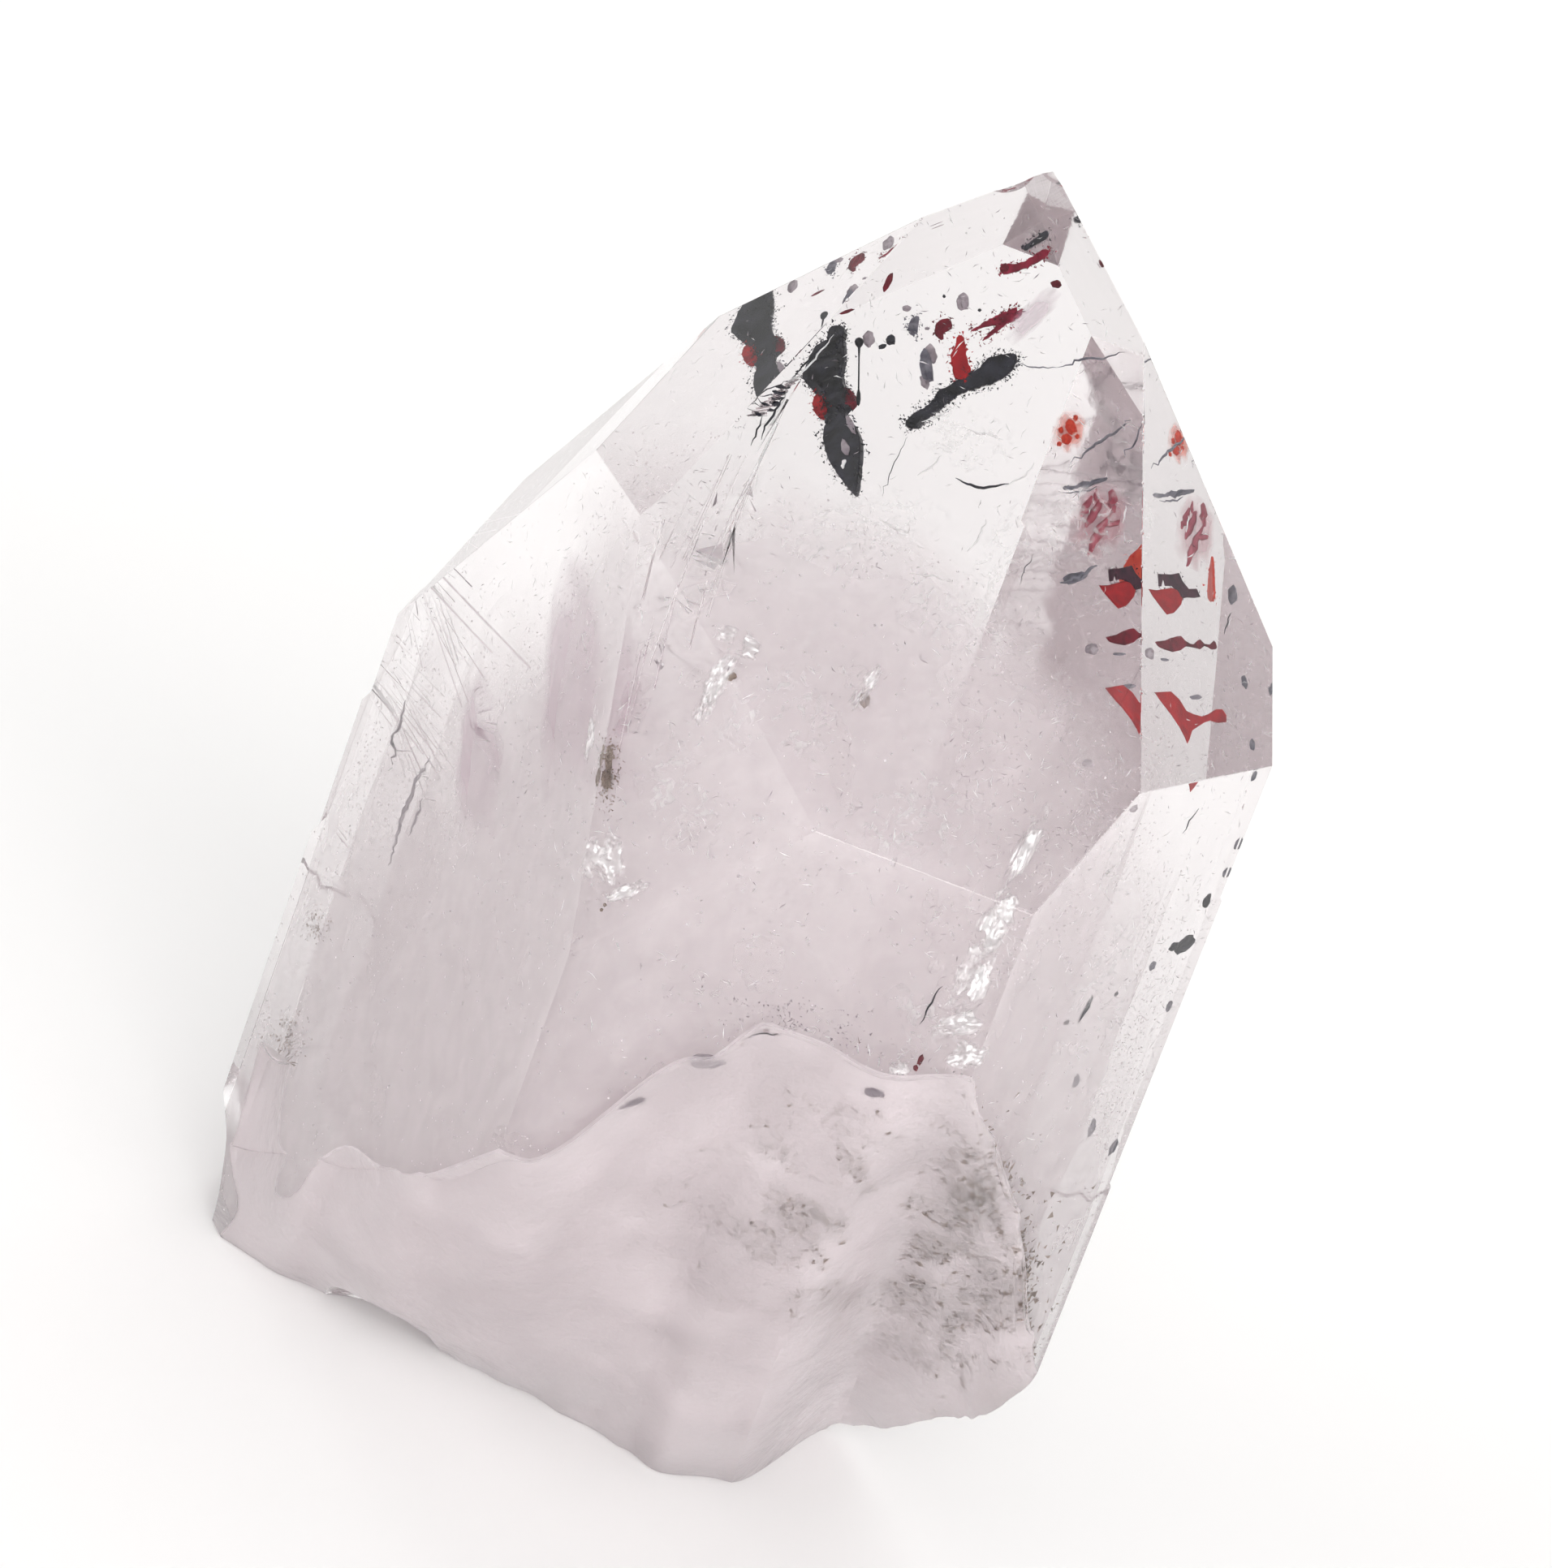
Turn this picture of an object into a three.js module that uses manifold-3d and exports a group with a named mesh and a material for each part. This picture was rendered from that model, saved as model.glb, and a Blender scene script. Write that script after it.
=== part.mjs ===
// Harlequin quartz crystal: one six-sided point on its prism, broken obliquely
// at the front and cut flat below, where it grew on the rock.
// Millimetres, +Z up along the crystal's long axis. The front is towards -Y, right is +X.
// Lengths are first laid out from the growth centre, a point on the long axis, and the
// finished crystal is then moved to stand on Z = 0 with its footprint centred.

import * as THREE from 'three';
import { mergeVertices } from 'three/addons/utils/BufferGeometryUtils.js';
import Module from 'manifold-3d';

// Quartz keeps the same angles on every crystal: c is this many times a
const AXIAL_RATIO = 1.1;
const TIP_TILT = Math.atan(2 * AXIAL_RATIO / Math.sqrt(3));
const CORNER_TILT = Math.atan(2 * AXIAL_RATIO);
const UPRIGHT = Math.PI / 2;

// Turn of each pair of faces from the front, to the right, in degrees
const TURNS = { front: 0, rightFront: 60, rightBack: 120, back: 180, leftBack: -120, leftFront: -60 };

// Distance of each prism face and each tip face from the growth centre
const PRISM_REACH = { front: 10.0, rightFront: 11.5, rightBack: 9.25, back: 12.2, leftBack: 12.6, leftFront: 7.6 };
const TIP_REACH = { front: 9.9, rightFront: 13.0, rightBack: 12.5, back: 15.9, leftBack: 10.9, leftFront: 10.9 };

// The small face across the corner on the left, and the blunt bevel low on the front face's left
const CORNER_FACE = { turn: -90, tilt: CORNER_TILT, reach: 9.8 };
const BEVEL = { turn: -19, tilt: THREE.MathUtils.degToRad(74.5), reach: 9.45 };

// Narrow grown strips between the front tip face and the left front prism face:
// where each starts, in from their edge, and how far it leans over
const STRIPS = [{ inset: 2.3, lean: 3 }, { inset: 1.5, lean: 8 }, { inset: 0.8, lean: 15 }];

// Growth ledges: above this height the prism face stands further in
const LEDGES = [
  { face: 'back', height: -11.5, depth: 0.14 }, { face: 'leftBack', height: -8.5, depth: 0.3 },
  { face: 'leftBack', height: -4.5, depth: 0.65 }, { face: 'leftBack', height: -1.6, depth: 1.0 },
  { face: 'rightBack', height: -6.5, depth: 0.12 }, { face: 'rightBack', height: 2.4, depth: 0.24 },
  { face: 'rightFront', height: 3.6, depth: 0.06 },
];

const BASE_HEIGHT = -19.5;

// The oblique break at the front. Each rib runs down the break at its own place across the
// crystal: where it leaves the grown faces, how far forward that is, and how far forward
// it comes out at the base
const BREAK_RIBS = [
  { across: -13.0, top: -18.4, from: -5.0, to: -5.8 }, { across: -10.7, top: -17.2, from: -3.4, to: -3.1 },
  { across: -7.8, top: -14.2, from: 1.6, to: -1.9 }, { across: -4.6, top: -10.9, from: 7.1, to: -1.2 },
  { across: -2.4, top: -8.1, from: 10.0, to: -0.7 }, { across: 1.1, top: -3.6, from: 10.0, to: 0.1 },
  { across: 2.3, top: -2.1, from: 10.0, to: 0.6 }, { across: 3.4, top: -2.1, from: 10.0, to: 1.2 },
  { across: 5.3, top: -2.3, from: 10.0, to: 0.3 }, { across: 7.6, top: -1.5, from: 10.0, to: -5.2 },
  { across: 9.8, top: -6.1, from: 6.1, to: -4.5 }, { across: 11.4, top: -10.6, from: 3.4, to: -4.0 },
  { across: 13.0, top: -12.6, from: 1.6, to: -4.6 },
];
const BREAK_COLUMNS = 22;
const BREAK_ROWS = 15;
const BREAK_LEDGE = 0.25;
const BREAK_BULGE = 0.9;
const BREAK_ROUGHNESS = 0.22;
const BREAK_FULL_DROP = 10;
const BREAK_OVERRUN = 3.0;

// Shell-shaped chips: where each bites, how round it is and how deep it goes
const CHIPS = [
  { at: [1.25, 1.35, 17.9], away: [0.2, -0.3, 1], radius: 1.6, depth: 0.22 },
  { at: [0.4, 0.7, 17.4], away: [-0.6, 0.1, 1], radius: 1.2, depth: 0.2 },
  { at: [-6.8, 12.1, -19.5], away: [-0.4, 1, -0.8], radius: 3.4, depth: 0.9 },
  { at: [0.2, 12.1, -19.5], away: [0.1, 1, -0.9], radius: 4.2, depth: 0.8 },
  { at: [3.6, 11.9, -19.5], away: [0.5, 1, -0.8], radius: 2.8, depth: 0.9 },
  { at: [7.3, 6.5, -19.5], away: [1, 0.4, -0.8], radius: 3.6, depth: 0.9 },
  { at: [-9.6, 9.4, -19.5], away: [-1, 0.5, -0.7], radius: 3.0, depth: 1.0 },
  { at: [-11.7, 5.0, -18.4], away: [-1, -0.2, -0.35], radius: 5.0, depth: 0.95 },
  { at: [-5.0, 1.4, -19.5], away: [-0.2, -1, -0.9], radius: 2.6, depth: 0.5 },
];

// Larger than the crystal every way, for the blocks that trim it
const BLOCK = 80;

const { Manifold, Mesh } = await loadSolids();

async function loadSolids() {
  const wasm = await Module();
  wasm.setup();
  return wasm;
}

function toSolid(geometry) {
  const bare = geometry.index ? geometry.toNonIndexed() : geometry.clone();
  bare.deleteAttribute('normal');
  bare.deleteAttribute('uv');
  const merged = mergeVertices(bare, 1e-5);
  return new Manifold(new Mesh({
    numProp: 3,
    vertProperties: new Float32Array(merged.attributes.position.array),
    triVerts: new Uint32Array(merged.index.array),
  }));
}

function toGeometry(solid) {
  const mesh = solid.getMesh();
  const geometry = new THREE.BufferGeometry();
  geometry.setAttribute('position', new THREE.BufferAttribute(new Float32Array(mesh.vertProperties), 3));
  geometry.setIndex(new THREE.BufferAttribute(new Uint32Array(mesh.triVerts), 1));
  geometry.computeVertexNormals();
  return geometry;
}

// Unit vector that leans away from straight up by tilt, turned from the front to the right
function facing(turn, tilt) {
  const angle = THREE.MathUtils.degToRad(turn);
  return new THREE.Vector3(
    Math.sin(angle) * Math.sin(tilt), -Math.cos(angle) * Math.sin(tilt), Math.cos(tilt));
}

// A block whose near side is the plane at this reach along the normal
function blockBeyond(normal, reach) {
  const block = new THREE.BoxGeometry(BLOCK, BLOCK, BLOCK);
  block.translate(0, 0, BLOCK / 2 + reach);
  block.applyQuaternion(new THREE.Quaternion().setFromUnitVectors(new THREE.Vector3(0, 0, 1), normal));
  return toSolid(block);
}

function trim(solid, normal, reach) {
  return solid.subtract(blockBeyond(normal, reach));
}

function grownBody() {
  let body = toSolid(new THREE.BoxGeometry(BLOCK / 2, BLOCK / 2, BLOCK));
  for (const [face, turn] of Object.entries(TURNS)) {
    body = trim(body, facing(turn, UPRIGHT), PRISM_REACH[face]);
    body = trim(body, facing(turn, TIP_TILT), TIP_REACH[face]);
  }
  body = trim(body, facing(CORNER_FACE.turn, CORNER_FACE.tilt), CORNER_FACE.reach);
  body = trim(body, facing(BEVEL.turn, BEVEL.tilt), BEVEL.reach);
  return trim(body, new THREE.Vector3(0, 0, -1), -BASE_HEIGHT);
}

// The point nearest the growth centre on the line where two planes meet
function nearestOnEdge(normalA, reachA, normalB, reachB) {
  const between = normalA.dot(normalB);
  const scale = 1 - between * between;
  return normalA.clone().multiplyScalar((reachA - reachB * between) / scale)
    .addScaledVector(normalB, (reachB - reachA * between) / scale);
}

// The strips round the front tip face over towards the left front prism face
function roundStripEdge(body) {
  const tipNormal = facing(TURNS.front, TIP_TILT);
  const sideNormal = facing(TURNS.leftFront, UPRIGHT);
  const edgePoint = nearestOnEdge(tipNormal, TIP_REACH.front, sideNormal, PRISM_REACH.leftFront);
  const edgeLine = new THREE.Vector3().crossVectors(tipNormal, sideNormal).normalize();
  const inward = new THREE.Vector3().crossVectors(edgeLine, tipNormal);
  if (inward.dot(sideNormal) > 0) inward.negate();
  for (const { inset, lean } of STRIPS) {
    const start = edgePoint.clone().addScaledVector(inward, inset);
    const angle = THREE.MathUtils.degToRad(lean);
    const normal = tipNormal.clone().multiplyScalar(Math.cos(angle)).addScaledVector(inward, -Math.sin(angle));
    body = trim(body, normal, normal.dot(start));
  }
  return body;
}

// Above each ledge the face is cut back, so the crystal steps in towards its tip
function cutLedges(body) {
  for (const { face, height, depth } of LEDGES) {
    const block = new THREE.BoxGeometry(BLOCK, BLOCK, BLOCK);
    block.translate(0, -BLOCK / 2 - (PRISM_REACH[face] - depth), BLOCK / 2 + height);
    block.rotateZ(THREE.MathUtils.degToRad(TURNS[face]));
    body = body.subtract(toSolid(block));
  }
  return body;
}

function ribAt(across) {
  const next = BREAK_RIBS.findIndex((rib) => rib.across >= across);
  const b = BREAK_RIBS[Math.max(next, 1)];
  const a = BREAK_RIBS[Math.max(next, 1) - 1];
  const share = (across - a.across) / (b.across - a.across);
  const mix = (key) => THREE.MathUtils.lerp(a[key], b[key], share);
  return { top: mix('top'), from: mix('from'), to: mix('to') };
}

// Fixed scatter between -1 and 1, the same each time for the same place
function scatter(column, row) {
  const wave = Math.sin(column * 12.9898 + row * 78.233) * 43758.5453;
  return 2 * (wave - Math.floor(wave)) - 1;
}

// One point of the break, row 0 clear above the grown faces and the last row below the base
function breakPoint(column, row) {
  const first = BREAK_RIBS[0].across;
  const last = BREAK_RIBS[BREAK_RIBS.length - 1].across;
  const across = THREE.MathUtils.lerp(first, last, column / (BREAK_COLUMNS - 1));
  const rib = ribAt(across);
  const slope = (rib.from - rib.to) / (rib.top - BASE_HEIGHT);
  if (row < 2) {
    const rise = row === 0 ? BREAK_OVERRUN : 0;
    return new THREE.Vector3(across, -(rib.from + slope * rise), rib.top + rise);
  }
  const share = (row - 2) / (BREAK_ROWS - 3);
  const down = THREE.MathUtils.lerp(BREAK_LEDGE, rib.top - BASE_HEIGHT + 1, share);
  const bulge = BREAK_BULGE * Math.sin(Math.PI * Math.min(share, 1));
  const rough = BREAK_ROUGHNESS * Math.min(1, (rib.top - BASE_HEIGHT) / BREAK_FULL_DROP);
  const forward = rib.from - BREAK_LEDGE - slope * down + bulge + rough * scatter(column, row);
  return new THREE.Vector3(across, -forward, rib.top - down);
}

// Everything that broke away, from the rough break out to well in front of the crystal
function brokenAway() {
  const places = [];
  const index = [];
  const sheet = BREAK_COLUMNS * BREAK_ROWS;
  for (const outer of [false, true]) {
    for (let row = 0; row < BREAK_ROWS; row += 1) {
      for (let column = 0; column < BREAK_COLUMNS; column += 1) {
        const point = breakPoint(column, row);
        places.push(point.x, outer ? -BLOCK / 2 : point.y, point.z);
      }
    }
  }
  const quad = (a, b, c, d) => index.push(a, b, c, a, c, d);
  const at = (column, row) => row * BREAK_COLUMNS + column;
  for (let row = 0; row < BREAK_ROWS - 1; row += 1) {
    for (let column = 0; column < BREAK_COLUMNS - 1; column += 1) {
      const corners = [at(column, row), at(column, row + 1), at(column + 1, row + 1), at(column + 1, row)];
      quad(...corners.slice().reverse());
      quad(...corners.map((corner) => corner + sheet));
    }
  }
  const wall = (a, b) => quad(a, b, b + sheet, a + sheet);
  for (let column = 0; column < BREAK_COLUMNS - 1; column += 1) {
    wall(at(column + 1, 0), at(column, 0));
    wall(at(column, BREAK_ROWS - 1), at(column + 1, BREAK_ROWS - 1));
  }
  for (let row = 0; row < BREAK_ROWS - 1; row += 1) {
    wall(at(0, row), at(0, row + 1));
    wall(at(BREAK_COLUMNS - 1, row + 1), at(BREAK_COLUMNS - 1, row));
  }
  const geometry = new THREE.BufferGeometry();
  geometry.setAttribute('position', new THREE.Float32BufferAttribute(places, 3));
  geometry.setIndex(index);
  return toSolid(geometry);
}

function chipAway(body) {
  for (const { at, away, radius, depth } of CHIPS) {
    const scoop = new THREE.IcosahedronGeometry(radius, 3);
    const out = new THREE.Vector3(...away).normalize().multiplyScalar(radius - depth);
    scoop.translate(at[0] + out.x, at[1] + out.y, at[2] + out.z);
    body = body.subtract(toSolid(scoop));
  }
  return body;
}

function crystalGeometry() {
  let body = roundStripEdge(grownBody());
  body = cutLedges(body).subtract(brokenAway());
  const geometry = toGeometry(chipAway(body));
  geometry.computeBoundingBox();
  const { min, max } = geometry.boundingBox;
  geometry.translate(-(min.x + max.x) / 2, -(min.y + max.y) / 2, -min.z);
  return geometry;
}

const quartz = new THREE.MeshStandardMaterial({
  color: 0xe4dde4, roughness: 0.08, metalness: 0, transparent: true, opacity: 0.6,
});

const crystal = new THREE.Group();
const point = new THREE.Mesh(crystalGeometry(), quartz);
point.name = 'quartz_crystal';
crystal.add(point);

export default crystal;
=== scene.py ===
"""A harlequin quartz crystal: one glassy point on its prism, with what grew inside it.

The crystal stands on its sawn base. It is clear at the tip and milky below, and holds dark and red
hematite on the planes that were once its faces, white feathers, needles and fine wisps.
Lengths are in metres; +Z is up the long axis, the front is towards -Y and right is +X.
"""
import logging
import math
from contextlib import contextmanager
from dataclasses import dataclass, field
from enum import Enum
from typing import Iterator, Sequence

import bpy
import numpy as np
from mathutils import Matrix, Vector, noise
from mathutils.bvhtree import BVHTree


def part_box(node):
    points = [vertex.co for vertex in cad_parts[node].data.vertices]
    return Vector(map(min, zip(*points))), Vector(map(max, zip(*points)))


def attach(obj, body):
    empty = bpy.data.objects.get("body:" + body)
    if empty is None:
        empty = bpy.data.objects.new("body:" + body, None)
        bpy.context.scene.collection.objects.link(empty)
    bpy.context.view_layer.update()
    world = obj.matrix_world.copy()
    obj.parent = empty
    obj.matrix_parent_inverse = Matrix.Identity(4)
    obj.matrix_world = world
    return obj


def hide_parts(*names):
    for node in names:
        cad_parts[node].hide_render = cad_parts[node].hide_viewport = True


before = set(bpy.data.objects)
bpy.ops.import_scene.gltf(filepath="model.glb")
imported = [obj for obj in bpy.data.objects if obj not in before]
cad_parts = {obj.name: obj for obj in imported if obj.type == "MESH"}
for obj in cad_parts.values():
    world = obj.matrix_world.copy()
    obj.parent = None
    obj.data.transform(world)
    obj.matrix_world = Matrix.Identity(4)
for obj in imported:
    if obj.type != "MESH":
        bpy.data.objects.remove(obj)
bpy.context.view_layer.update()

LOG = logging.getLogger("harlequin_quartz")
MM = 0.001
BODY = "root"
CAD_NODE = "quartz_crystal"
QUARTZ_INDEX = 1.544
AXIAL_RATIO = 1.1
TIP_TILT = math.atan(2 * AXIAL_RATIO / math.sqrt(3))
CORNER_TILT = math.atan(2 * AXIAL_RATIO)
UPRIGHT = math.pi / 2
FINER = 2.0
OUTLINE_STEP = 3.0

Pixel = tuple[float, float]
Colour = tuple[float, float, float]


class Side(Enum):
    """Where a face stands round the crystal: its turn from the front to the right, in degrees."""

    FRONT = 0
    RIGHT_FRONT = 60
    RIGHT_BACK = 120
    BACK = 180
    LEFT_BACK = -120
    LEFT_FRONT = -60


class Surface(Enum):
    """How a patch of the crystal's skin came about. The value is its slot while it is cut."""

    GROWN = 0
    BROKEN = 1
    CHIPPED = 2


def facing(turn_deg: float, tilt: float) -> Vector:
    """A unit vector that leans from straight up by tilt, turned from the front to the right.

    Args:
        turn_deg: Turn from the front, in degrees.
        tilt: Lean from straight up, in radians.

    Returns:
        The unit vector.
    """
    turn = math.radians(turn_deg)
    return Vector((math.sin(turn) * math.sin(tilt), -math.cos(turn) * math.sin(tilt), math.cos(tilt)))


def take_up(piece: bpy.types.Object) -> None:
    """Makes one piece the active one and the only one selected.

    Args:
        piece: The piece.
    """
    for other in bpy.context.selected_objects:
        other.select_set(False)
    piece.select_set(True)
    bpy.context.view_layer.objects.active = piece


@contextmanager
def editing(piece: bpy.types.Object) -> Iterator[None]:
    """Opens a piece in edit mode with all of it selected, and closes it again.

    Args:
        piece: The mesh object to edit.

    Yields:
        Nothing.
    """
    take_up(piece)
    bpy.ops.object.mode_set(mode="EDIT")
    bpy.ops.mesh.select_all(action="SELECT")
    yield
    bpy.ops.object.mode_set(mode="OBJECT")


def settle(piece: bpy.types.Object) -> None:
    """Puts a piece's place into its mesh, so that its object sits at the origin."""
    take_up(piece)
    bpy.ops.object.transform_apply(location=True, rotation=True, scale=True)


def carve(body: bpy.types.Object, cutter: bpy.types.Object) -> None:
    """Cuts one solid by another with an applied Boolean modifier, and removes the cutter.

    Args:
        body: The solid that is cut.
        cutter: The solid that cuts it.
    """
    take_up(body)
    knife = body.modifiers.new("cut", "BOOLEAN")
    knife.operation = "DIFFERENCE"
    knife.solver = "MANIFOLD"
    knife.object = cutter
    bpy.ops.object.modifier_apply(modifier=knife.name)
    bpy.data.objects.remove(cutter)


def report(piece: bpy.types.Object) -> None:
    """Logs a piece's name and how many faces it has."""
    LOG.info("%s: %d faces", piece.name, len(piece.data.polygons))


def joined(pieces: Sequence[bpy.types.Object], name: str) -> bpy.types.Object:
    """Joins several objects into the first of them.

    Args:
        pieces: The objects.
        name: The joined piece's name.

    Returns:
        The joined piece.
    """
    take_up(pieces[0])
    for piece in pieces:
        piece.select_set(True)
    bpy.ops.object.join()
    pieces[0].name = name
    return pieces[0]


def delete_faces(piece: bpy.types.Object, doomed: Sequence[bool]) -> None:
    """Deletes the marked faces of a piece.

    Args:
        piece: The piece.
        doomed: Whether each face goes.
    """
    with editing(piece):
        bpy.ops.mesh.select_mode(type="FACE")
        bpy.ops.mesh.select_all(action="DESELECT")
        bpy.ops.object.mode_set(mode="OBJECT")
        piece.data.polygons.foreach_set("select", doomed)
        bpy.ops.object.mode_set(mode="EDIT")
        bpy.ops.mesh.delete(type="FACE")


def face_outwards() -> None:
    """Turns every face of the piece that is being edited outwards."""
    bpy.ops.mesh.select_all(action="SELECT")
    bpy.ops.mesh.normals_make_consistent(inside=False)


def mesh_piece(name: str, points: np.ndarray, faces: np.ndarray) -> bpy.types.Object:
    """One object of many small like faces.

    Args:
        name: The piece's name.
        points: Corner points, one row each.
        faces: Corner numbers, one row for each face.

    Returns:
        The new object.
    """
    mesh = bpy.data.meshes.new(name)
    count, corners = faces.shape
    mesh.vertices.add(len(points))
    mesh.vertices.foreach_set("co", points.astype(np.float32).ravel())
    mesh.loops.add(faces.size)
    mesh.loops.foreach_set("vertex_index", faces.astype(np.int32).ravel())
    mesh.polygons.add(count)
    mesh.polygons.foreach_set("loop_start", np.arange(0, faces.size, corners, dtype=np.int32))
    mesh.update(calc_edges=True)
    piece = bpy.data.objects.new(name, mesh)
    bpy.context.scene.collection.objects.link(piece)
    return piece


class NodeBoard:
    """A material's or world's nodes, with short calls that add and join them."""

    def __init__(self, owner: bpy.types.ID) -> None:
        """Starts an empty tree.

        Args:
            owner: The material or world.
        """
        owner.use_nodes = True
        self.tree = owner.node_tree
        self.tree.nodes.clear()

    def add(self, kind: str, inputs: dict | None = None, **settings: object) -> bpy.types.Node:
        """Adds one node.

        Args:
            kind: The node's type name.
            inputs: Socket names with a plain value or another node's output each.
            settings: The node's own settings.

        Returns:
            The new node.
        """
        node = self.tree.nodes.new(kind)
        for name, value in settings.items():
            setattr(node, name, value)
        for name, value in (inputs or {}).items():
            socket = node.inputs[name]
            if isinstance(value, bpy.types.NodeSocket):
                self.tree.links.new(value, socket)
            else:
                socket.default_value = value
        return node

    def place(self) -> bpy.types.NodeSocket:
        """The object coordinates of the point being shaded."""
        return self.add("ShaderNodeTexCoord").outputs["Object"]

    def noise(self, scale: float, detail: float = 3.0, stretch: Colour = (1, 1, 1), warp: float = 0.0,
              turn: Colour = (0, 0, 0)) -> bpy.types.NodeSocket:
        """Noise in object coordinates.

        Args:
            scale: Cells in each metre.
            detail: Octaves.
            stretch: Scale along each axis.
            warp: Distortion.
            turn: Turn of the pattern, in radians.

        Returns:
            The noise value's socket.
        """
        placed = self.add("ShaderNodeMapping", {"Vector": self.place(), "Scale": stretch, "Rotation": turn})
        inputs = {"Vector": placed.outputs[0], "Scale": scale, "Detail": detail, "Distortion": warp}
        return self.add("ShaderNodeTexNoise", inputs).outputs["Fac"]

    def span(self, value: bpy.types.NodeSocket, low: float, high: float, start: float = 0.0,
             end: float = 1.0) -> bpy.types.NodeSocket:
        """Maps low..high smoothly to start..end.

        Args:
            value: The socket to map.
            low: Value that gives start.
            high: Value that gives end.
            start: Result at low.
            end: Result at high.

        Returns:
            The mapped value's socket.
        """
        inputs = {"Value": value, "From Min": low, "From Max": high, "To Min": start, "To Max": end}
        return self.add("ShaderNodeMapRange", inputs, interpolation_type="SMOOTHSTEP").outputs[0]

    def math(self, operation: str, first: object, second: object,
             held: bool = True) -> bpy.types.NodeSocket:
        """One sum of two values.

        Args:
            operation: The Math node's operation.
            first: Socket or number.
            second: Socket or number.
            held: Whether the result is held between 0 and 1.

        Returns:
            The result's socket.
        """
        node = self.add("ShaderNodeMath", operation=operation, use_clamp=held)
        for socket, value in zip(node.inputs, (first, second)):
            if isinstance(value, bpy.types.NodeSocket):
                self.tree.links.new(value, socket)
            else:
                socket.default_value = value
        return node.outputs[0]

    def ramp(self, value: bpy.types.NodeSocket, *stops: tuple[float, Colour]) -> bpy.types.NodeSocket:
        """Colours along a value.

        Args:
            value: The socket that picks the colour.
            stops: Position and colour of each stop.

        Returns:
            The colour's socket.
        """
        node = self.add("ShaderNodeValToRGB", {"Fac": value})
        band = node.color_ramp.elements
        while len(band) < len(stops):
            band.new(0.5)
        for element, (position, colour) in zip(band, stops):
            element.position = position
            element.color = (*colour, 1.0)
        return node.outputs["Color"]

    def finish(self, shader: bpy.types.NodeSocket, volume: bpy.types.NodeSocket | None = None) -> None:
        """Joins the shader, and a volume if there is one, to the material's output.

        Args:
            shader: The surface's socket.
            volume: The volume's socket, or None.
        """
        out = self.add("ShaderNodeOutputMaterial", {"Surface": shader})
        if volume is not None:
            self.tree.links.new(volume, out.inputs["Volume"])


@dataclass(frozen=True)
class ClearQuartz:
    """The crystal's own substance, faintly lilac, glossy where it grew and frosted where it broke."""

    tint: Colour = (0.995, 0.985, 0.988)
    absorbs: Colour = (0.76, 0.60, 0.63)
    density: float = 6.0
    gloss: float = 0.012
    frosted: float = 0.42
    grown_relief: float = 0.004 * MM
    broken_relief: float = 0.07 * MM
    frost_attribute: str = "frost"

    def material(self) -> bpy.types.Material:
        """Builds the see-through material.

        Returns:
            The material.
        """
        made = bpy.data.materials.new("clear_quartz")
        board = NodeBoard(made)
        frost = board.add("ShaderNodeAttribute", attribute_name=self.frost_attribute).outputs["Fac"]
        etched = board.span(board.noise(900.0, 4.0), 0.2, 0.6, 0.6, 1.0)
        matt = board.math("MULTIPLY", frost, etched)
        roughness = board.span(matt, 0.0, 1.0, self.gloss, self.frosted)
        grown = board.noise(220.0, 3.0, (1, 1, 2.6))
        broken = board.noise(1500.0, 5.0)
        relief = board.add("ShaderNodeMix", {"Factor": frost}, data_type="FLOAT")
        board.tree.links.new(grown, relief.inputs[2])
        board.tree.links.new(broken, relief.inputs[3])
        depth = board.span(frost, 0.0, 1.0, self.grown_relief, self.broken_relief)
        bump = board.add("ShaderNodeBump", {
            "Strength": 1.0, "Distance": depth, "Height": relief.outputs[0]})
        skin = board.add("ShaderNodeBsdfPrincipled", {
            "Base Color": (*self.tint, 1), "Roughness": roughness, "Normal": bump.outputs[0],
            "Transmission Weight": 1.0, "IOR": QUARTZ_INDEX})
        inside = board.add("ShaderNodeVolumeAbsorption", {
            "Color": (*self.absorbs, 1), "Density": self.density})
        board.finish(skin.outputs[0], inside.outputs[0])
        return made


@dataclass(frozen=True)
class MilkField:
    """Where the quartz is milky: in a rounded heart low at the front, and all through near the base."""

    heart: Vector = Vector((0.5, -8.0, 10.0)) * MM
    radii: Vector = Vector((11.5, 10.5, 18.0)) * MM
    fades: tuple[float, float] = (1.14, 0.90)
    low_clear: float = 20.5 * MM
    low_full: float = 9.0 * MM
    billow: float = 0.16
    billow_pitch: float = 170.0

    def at(self, points: np.ndarray) -> np.ndarray:
        """How milky the quartz is at each point, from 0 to 1, with a billowing border.

        Args:
            points: Points, one row each.

        Returns:
            The share for each point.
        """
        waves = np.array([noise.fractal(Vector(point) * self.billow_pitch, 1.0, FINER, 3)
                          for point in points])
        apart = np.linalg.norm((points - np.array(self.heart)) / np.array(self.radii), axis=1)
        heart = (self.fades[0] - apart - waves * self.billow) / (self.fades[0] - self.fades[1])
        low = (self.low_clear - points[:, 2]) / (self.low_clear - self.low_full)
        return np.clip(np.maximum(heart, low), 0.0, 1.0)


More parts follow.
